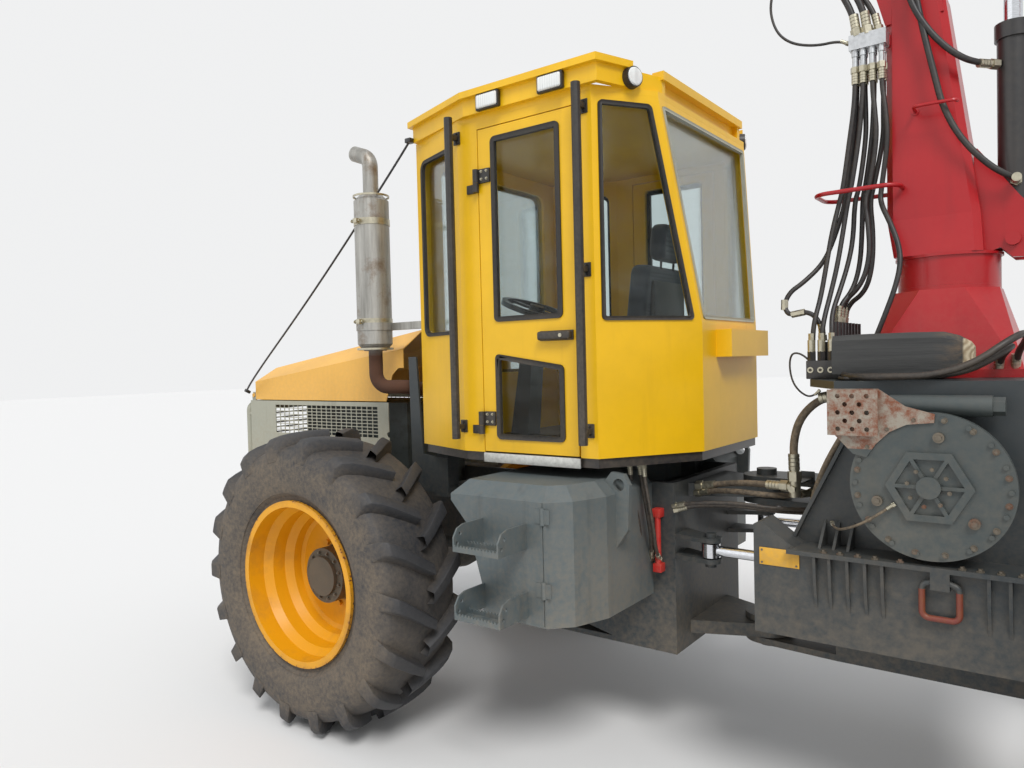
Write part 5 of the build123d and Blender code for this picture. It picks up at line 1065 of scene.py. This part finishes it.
def buildHose(name, look):
    line = sampledLine(look["points"])
    diameter = look["diameter"]
    bm = bmesh.new()
    addPipe(bm, look["points"], diameter / 2)
    hose = finishPiece(name, bm, None, look.get("finish", "hoseRubber"), 60)
    bm = bmesh.new()
    addEnd(bm, line[0], line[2] - line[0], diameter)
    if name not in coupled:
        addEnd(bm, line[-1], line[-3] - line[-1], diameter)
    for rod in look.get("rods", ()):  # fittings along the hose
        addRod(bm, *rod)
    ends = finishPiece(name + "Ends", bm, None, "zincFitting")
    pieces = [hose, ends]
    if "guard" in look:
        low, high = look["guard"]
        bm = bmesh.new()
        addSpiral(bm, [point for point in line if low < point.z < high], diameter * 0.56, diameter * 0.24,
                  diameter * 0.56)
        pieces.append(finishPiece(name + "Guard", bm, None, "wrappedHose", 60))
    for piece in pieces:
        attach(piece, look)


def buildHoses():
    for name, look in hoses.items():
        buildHose(name, look)


# Three quick couplings at the valve block's left end, the joint hose's bracket, the hose hook and the
# three ports on the boom
couplingSpots = (-0.304, -0.343, -0.382)


def buildCouplings():
    bm = bmesh.new()
    addBox(bm, (-0.408, 0.3205, 1.7205), (-0.286, 0.3565, 1.795), 0.003)
    for x in couplingSpots:
        addRod(bm, (x, 0.338, 1.79), (x, 0.338, 1.832), 0.0165, 6)
    finishPiece("couplingBlock", bm, "rear_frame", "blackEnamel")
    bm = bmesh.new()
    for x in couplingSpots:
        addRod(bm, (x, 0.338, 1.830), (x, 0.338, 1.878), 0.0150, 24)
        addRod(bm, (x, 0.3375, 1.878), (x, 0.337, 1.905), 0.0125, 6)
        addRod(bm, (x, 0.356, 1.757), (x, 0.3605, 1.757), 0.0120, 24)
    finishPiece("couplingSleeves", bm, "rear_frame", "zincFitting")
    bm = bmesh.new()
    for x in couplingSpots:
        addRod(bm, (x, 0.360, 1.757), (x, 0.3612, 1.757), 0.0062, 16)
    finishPiece("couplingPorts", bm, "rear_frame", "blackPlastic")
    bm = bmesh.new()
    addBox(bm, (-0.245, 0.116, 1.2770), (-0.192, 0.282, 1.2850), 0.003)
    addBox(bm, (-0.250, 0.116, 1.255), (-0.187, 0.126, 1.310), 0.003)
    finishPiece("jointBracket", bm, "rear_frame", "frameGrey")
    bm = bmesh.new()
    hook = ((-0.655, 0.112, 2.775), (-0.655, 0.150, 2.775), (-0.660, 0.192, 2.775), (-0.700, 0.200, 2.774),
            (-0.780, 0.200, 2.772), (-0.806, 0.196, 2.771), (-0.808, 0.176, 2.771))
    addPipe(bm, hook, 0.0065)
    addRod(bm, (-0.655, 0.108, 2.775), (-0.655, 0.122, 2.775), 0.014, 16)
    finishPiece("hoseHook", bm, "crane_column", "craneRed")
    bm = bmesh.new()
    for z in (3.590, 3.545, 3.500):
        addRod(bm, (-1.04, 0.0925, z), (-1.11, 0.0895, z + 0.012), 0.016, 6)
    finishPiece("boomPorts", bm, "main_boom", "craneRed")


# Rest beam: a hewn timber with a cut point at its rear end and a long groove
beam = {"high": 1.893, "low": 1.722, "near": 0.345, "far": 0.515, "front": -0.425, "rear": -0.885}


def buildBeam():
    bm = bmesh.new()
    stations = ((beam["rear"], 0.30, 0.34), (-0.872, 0.52, 0.55), (-0.835, 0.80, 0.82), (-0.79, 0.97, 0.98),
                (-0.70, 1.0, 1.0), (-0.55, 0.98, 1.0), (-0.46, 1.0, 0.99), (beam["front"], 0.97, 0.97))
    middle = Vector((0, (beam["near"] + beam["far"]) / 2, (beam["low"] + beam["high"]) / 2))
    half = Vector((0, (beam["far"] - beam["near"]) / 2, (beam["high"] - beam["low"]) / 2))
    rings = []
    for i, (x, wide, tall) in enumerate(stations):
        ring = []
        for j in range(24):
            angle = 2 * math.pi * (j + 0.5) / 24
            y, z = math.cos(angle), math.sin(angle)
            reach = 1 / (abs(y) ** 7 + abs(z) ** 7) ** (1 / 7)
            hew = 1 + 0.018 * math.sin(3.1 * j + 1.7 * i) + 0.012 * math.sin(1.3 * j * i)
            groove = 0.93 if j in (1, 2) and i > 1 else 1.0
            ring.append(bm.verts.new((x, middle.y + y * reach * half.y * wide * min(hew, 1.0) * groove,
                                      middle.z + z * reach * half.z * tall * min(hew, 1.0))))
        rings.append(ring)
    for first, second in zip(rings, rings[1:]):
        for j in range(24):
            bm.faces.new((first[j], first[(j + 1) % 24], second[(j + 1) % 24], second[j]))
    bm.faces.new(rings[0])
    bm.faces.new(rings[-1])
    low = min(vert.co.z for vert in bm.verts)
    bmesh.ops.translate(bm, verts=bm.verts, vec=(0, 0, 1.7205 - low))
    piece = finishPiece("hewnBeam", bm, "rear_frame", "restTimber", 24)
    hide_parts("rest_beam")


# Seat: crowned cushions with sewn channels on a bellows pedestal
seat = {
    "base": ((0.52, -0.23, 1.640), (0.96, 0.23, 1.745)),
    "channels": 5, "groove": 0.012, "crown": 0.018,
}


def crownedCushion(name, low, high, turn, pivot):
    bm = bmesh.new()
    low, high = Vector(low), Vector(high)
    size = high - low
    columns, rows = 18, 10
    block = Matrix.Translation((low + high) / 2) @ Matrix.Diagonal((*size, 1))
    bmesh.ops.create_cube(bm, size=1, matrix=block)
    sides = [edge for edge in bm.edges if abs((edge.verts[0].co - edge.verts[1].co).z) > 0.01]
    bmesh.ops.bevel(bm, geom=sides, offset=0.045, segments=4, profile=0.5, affect="EDGES", material=-1)
    rims = [edge for edge in bm.edges if abs((edge.verts[0].co - edge.verts[1].co).z) < 0.001]
    bmesh.ops.bevel(bm, geom=rims, offset=0.024, segments=3, profile=0.5, affect="EDGES", material=-1)
    for i in range(1, columns):
        cut = low.x + size.x * i / columns
        bmesh.ops.bisect_plane(bm, geom=bm.verts[:] + bm.edges[:] + bm.faces[:], plane_co=(cut, 0, 0),
                               plane_no=(1, 0, 0))
    for i in range(1, rows):
        cut = low.y + size.y * i / rows
        bmesh.ops.bisect_plane(bm, geom=bm.verts[:] + bm.edges[:] + bm.faces[:], plane_co=(0, cut, 0),
                               plane_no=(0, 1, 0))
    for vert in bm.verts:
        u = (vert.co.x - low.x) / size.x
        v = (vert.co.y - low.y) / size.y
        if vert.co.z > (low.z + high.z) / 2:
            crown = math.sin(math.pi * min(max(u, 0), 1)) * math.sin(math.pi * min(max(v, 0), 1))
            inside = 0.14 < v < 0.86 and 0.08 < u < 0.92
            sewn = abs(math.sin(math.pi * u * seat["channels"])) ** 0.5 if inside else 1.0
            vert.co.z += seat["crown"] * crown - seat["groove"] * (1 - sewn)
    bmesh.ops.rotate(bm, verts=bm.verts, cent=pivot, matrix=Matrix.Rotation(math.radians(turn), 3, "Y"))
    piece = finishPiece(name, bm, "front_frame", "seatCloth", 60)
    soften = piece.modifiers.new("soften", "SUBSURF")
    soften.levels = soften.render_levels = 1
    return piece


def buildSeat():
    cushion = crownedCushion("seatCushion", *seat["base"], 3, (0.74, 0, 1.69))
    back = crownedCushion("seatBack", (-0.30, -0.22, 1.64), (0.24, 0.22, 1.74), 0, (0, 0, 0))
    place = Matrix.Translation((0.560, 0, 2.010)) @ Matrix.Rotation(math.radians(83), 4, "Y")
    back.data.transform(place @ Matrix.Translation((0.03, 0, -1.69)))
    head = crownedCushion("seatHead", (-0.09, -0.13, 1.65), (0.09, 0.13, 1.73), 0, (0, 0, 0))
    head.data.transform(Matrix.Translation((0.478, 0, 2.390)) @ Matrix.Rotation(math.radians(85), 4, "Y")
                        @ Matrix.Translation((0, 0, -1.69)))
    rests = []
    for side, flank in (("Left", 1), ("Right", -1)):
        low, high = mirrored((0.56, 0.230, 1.855), (0.90, 0.300, 1.905), flank)
        bm = bmesh.new()
        addBox(bm, low, high, 0.018, 4)
        rest = finishPiece(f"armRest{side}", bm, "front_frame", "seatCloth", 60)
        rests.append(rest)
    bm = bmesh.new()
    addBox(bm, (0.60, -0.15, 1.402), (0.88, 0.15, 1.422), 0.004)
    addBox(bm, (0.62, -0.12, 1.592), (0.86, 0.12, 1.642), 0.006)
    for i in range(6):
        z = 1.425 + 0.028 * i
        fold = 0.006 * (i % 2)
        addBox(bm, (0.632 + fold, -0.110, z), (0.848 - fold, 0.110, z + 0.026), 0.009, 3)
    for flank in (1, -1):
        addBox(bm, *mirrored((0.565, 0.236, 1.66), (0.610, 0.262, 1.862), flank), 0.006)
        addBox(bm, *mirrored((0.560, 0.200, 1.645), (0.640, 0.262, 1.675), flank), 0.006)
        addRod(bm, (0.487, flank * 0.070, 2.26), (0.478, flank * 0.070, 2.36), 0.006, 12)
    addBox(bm, (0.470, -0.17, 1.72), (0.500, 0.17, 2.20), 0.010)
    base = finishPiece("seatBase", bm, "front_frame", "blackPlastic")
    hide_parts("seat")
    for piece in (cushion, back, head, *rests):
        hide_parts("seat")


# Winch: bolt rings, three plugs, the flange's bolts and a blank yellow plate
winch = {"x": -0.79, "z": 1.38, "face": 0.775, "rim": 0.222, "hub": 0.062, "hubFace": 0.7995, "plugs": 0.165}


def discPoint(angle, radius, y):
    return Vector((winch["x"] + math.cos(angle) * radius, y, winch["z"] + math.sin(angle) * radius))


def buildWinch():
    bm = bmesh.new()
    for flank in (1, -1):
        for i in range(16):
            angle = 2 * math.pi * (i + 0.5) / 16
            addBolt(bm, discPoint(angle, winch["rim"], flank * winch["face"]), across * flank, 0.0085)
        for i in range(8):
            angle = 2 * math.pi * (i + 0.25) / 8
            spot = discPoint(angle, winch["hub"], flank * winch["hubFace"])
            addBolt(bm, spot, across * flank, 0.0075, False)
        for i in range(3):
            angle = math.radians(100 + 120 * i)
            spot = discPoint(angle, winch["plugs"], flank * winch["face"])
            addRod(bm, spot, spot + across * flank * 0.014, 0.017, 20)
            addRod(bm, spot + across * flank * 0.014, spot + across * flank * 0.020, 0.010, 6)
        for x in (-1.110, -1.040, -0.985, -0.930, -0.880, -0.700, -0.622, -0.568, -0.510, -0.455):
            addRod(bm, (x, flank * 0.767, 1.118), (x, flank * 0.767, 1.131), 0.0072, 12)
            addRod(bm, (x, flank * 0.767, 1.119), (x, flank * 0.767, 1.125), 0.0125, 6)
    finishPiece("winchBolts", bm, "rear_frame", "boltSteel")
    bm = bmesh.new()
    addBox(bm, (-0.367, 0.7505, 1.046), (-0.222, 0.7545, 1.110), 0.0015)
    finishPiece("blankPlate", bm, "rear_frame", "guardYellow")
    bm = bmesh.new()
    for x in (-0.357, -0.232):
        for z in (1.055, 1.101):
            addRod(bm, (x, 0.7540, z), (x, 0.7562, z), 0.0040, 12)
    finishPiece("plateRivets", bm, "rear_frame", "boltSteel")


# One layer of rope on each half of the drum, its turns side by side
ropes = {"radius": 0.1525, "start": 0.028, "stop": 0.362, "pitch": 0.0155, "thick": 0.0078, "steps": 20}


def buildRopes():
    bm = bmesh.new()
    turns = int((ropes["stop"] - ropes["start"]) / ropes["pitch"])
    for flank in (1, -1):
        coil = []
        for i in range(turns * ropes["steps"] + 1):
            angle = 2 * math.pi * i / ropes["steps"]
            y = ropes["start"] + ropes["pitch"] * i / ropes["steps"]
            coil.append(discPoint(angle, ropes["radius"], flank * y))
        addPipe(bm, coil, ropes["thick"], kind="POLY", sides=1)
    finishPiece("drumRopes", bm, "winch_drum", "ropeSteel", 60)


# Muffler: two clamp bands with their bolts and two plain rings
muffler = {"x": 1.93, "y": 0.64, "radius": 0.095}


def addBand(bm, z, tall, proud):
    reach = muffler["x"] + muffler["radius"]
    outline = ((-0.001, 0), (proud, 0), (proud, tall), (-0.001, tall))
    points = [Vector((reach + out, muffler["y"], z + rise)) for out, rise in outline]
    spunProfile(bm, points, (muffler["x"], muffler["y"], z), upward, 48)


def buildMuffler():
    bm = bmesh.new()
    for z in (2.04, 2.58):
        addBand(bm, z, 0.034, 0.003)
        addBox(bm, (1.915, 0.733, z + 0.004), (1.945, 0.765, z + 0.030), 0.003)
        addRod(bm, (1.900, 0.752, z + 0.017), (1.962, 0.752, z + 0.017), 0.005, 12)
        addBolt(bm, (1.960, 0.752, z + 0.017), (1, 0, 0), 0.008)
    addBand(bm, 1.905, 0.010, 0.004)
    addBand(bm, 2.735, 0.010, 0.004)
    finishPiece("mufflerBands", bm, "front_frame", "zincFitting")


# Red lock struts on the front frame
def buildStruts():
    bm = bmesh.new()
    for flank in (1, -1):
        addRod(bm, (0.361, flank * 0.412, 1.110), (0.361, flank * 0.412, 0.880), 0.014, 20)
        for z in (1.120, 0.870):
            addBox(bm, *mirrored((0.340, 0.383, z - 0.020), (0.382, 0.428, z + 0.020), flank), 0.004)
    finishPiece("lockStruts", bm, "front_frame", "brightRed")


# Wire that keeps branches off, from the front to the cab's roof
def buildBranchWire():
    bm = bmesh.new()
    addPipe(bm, ((3.300, 0.530, 1.668), (3.294, 0.560, 1.672), (2.400, 0.640, 2.290), (1.640, 0.668, 2.930),
                 (1.600, 0.660, 2.985)), 0.006)
    addRod(bm, (3.300, 0.512, 1.660), (3.300, 0.545, 1.676), 0.011, 12)
    addBox(bm, (1.585, 0.640, 2.966), (1.625, 0.680, 2.990), 0.004)
    finishPiece("branchWire", bm, "front_frame", "blackEnamel")


setCamera()
setStudio()
floorMesh = bmesh.new()
bmesh.ops.create_grid(floorMesh, x_segments=1, y_segments=1, size=60)
floor = finishPiece("floor", floorMesh, None, Graph("floorPaint").surface({
    "Base Color": (*studio["floor"], 1), "Roughness": 0.9}))
buildWheels()
print("wheels dressed")
buildSeals()
buildDoorTrim()
buildLamps()
print("cab dressed")
buildHoses()
buildCouplings()
print("hoses laid:", len(hoses))
buildBeam()
buildSeat()
buildWinch()
buildRopes()
buildMuffler()
buildBranchWire()
buildStruts()
print("beam, seat, winch and muffler dressed")
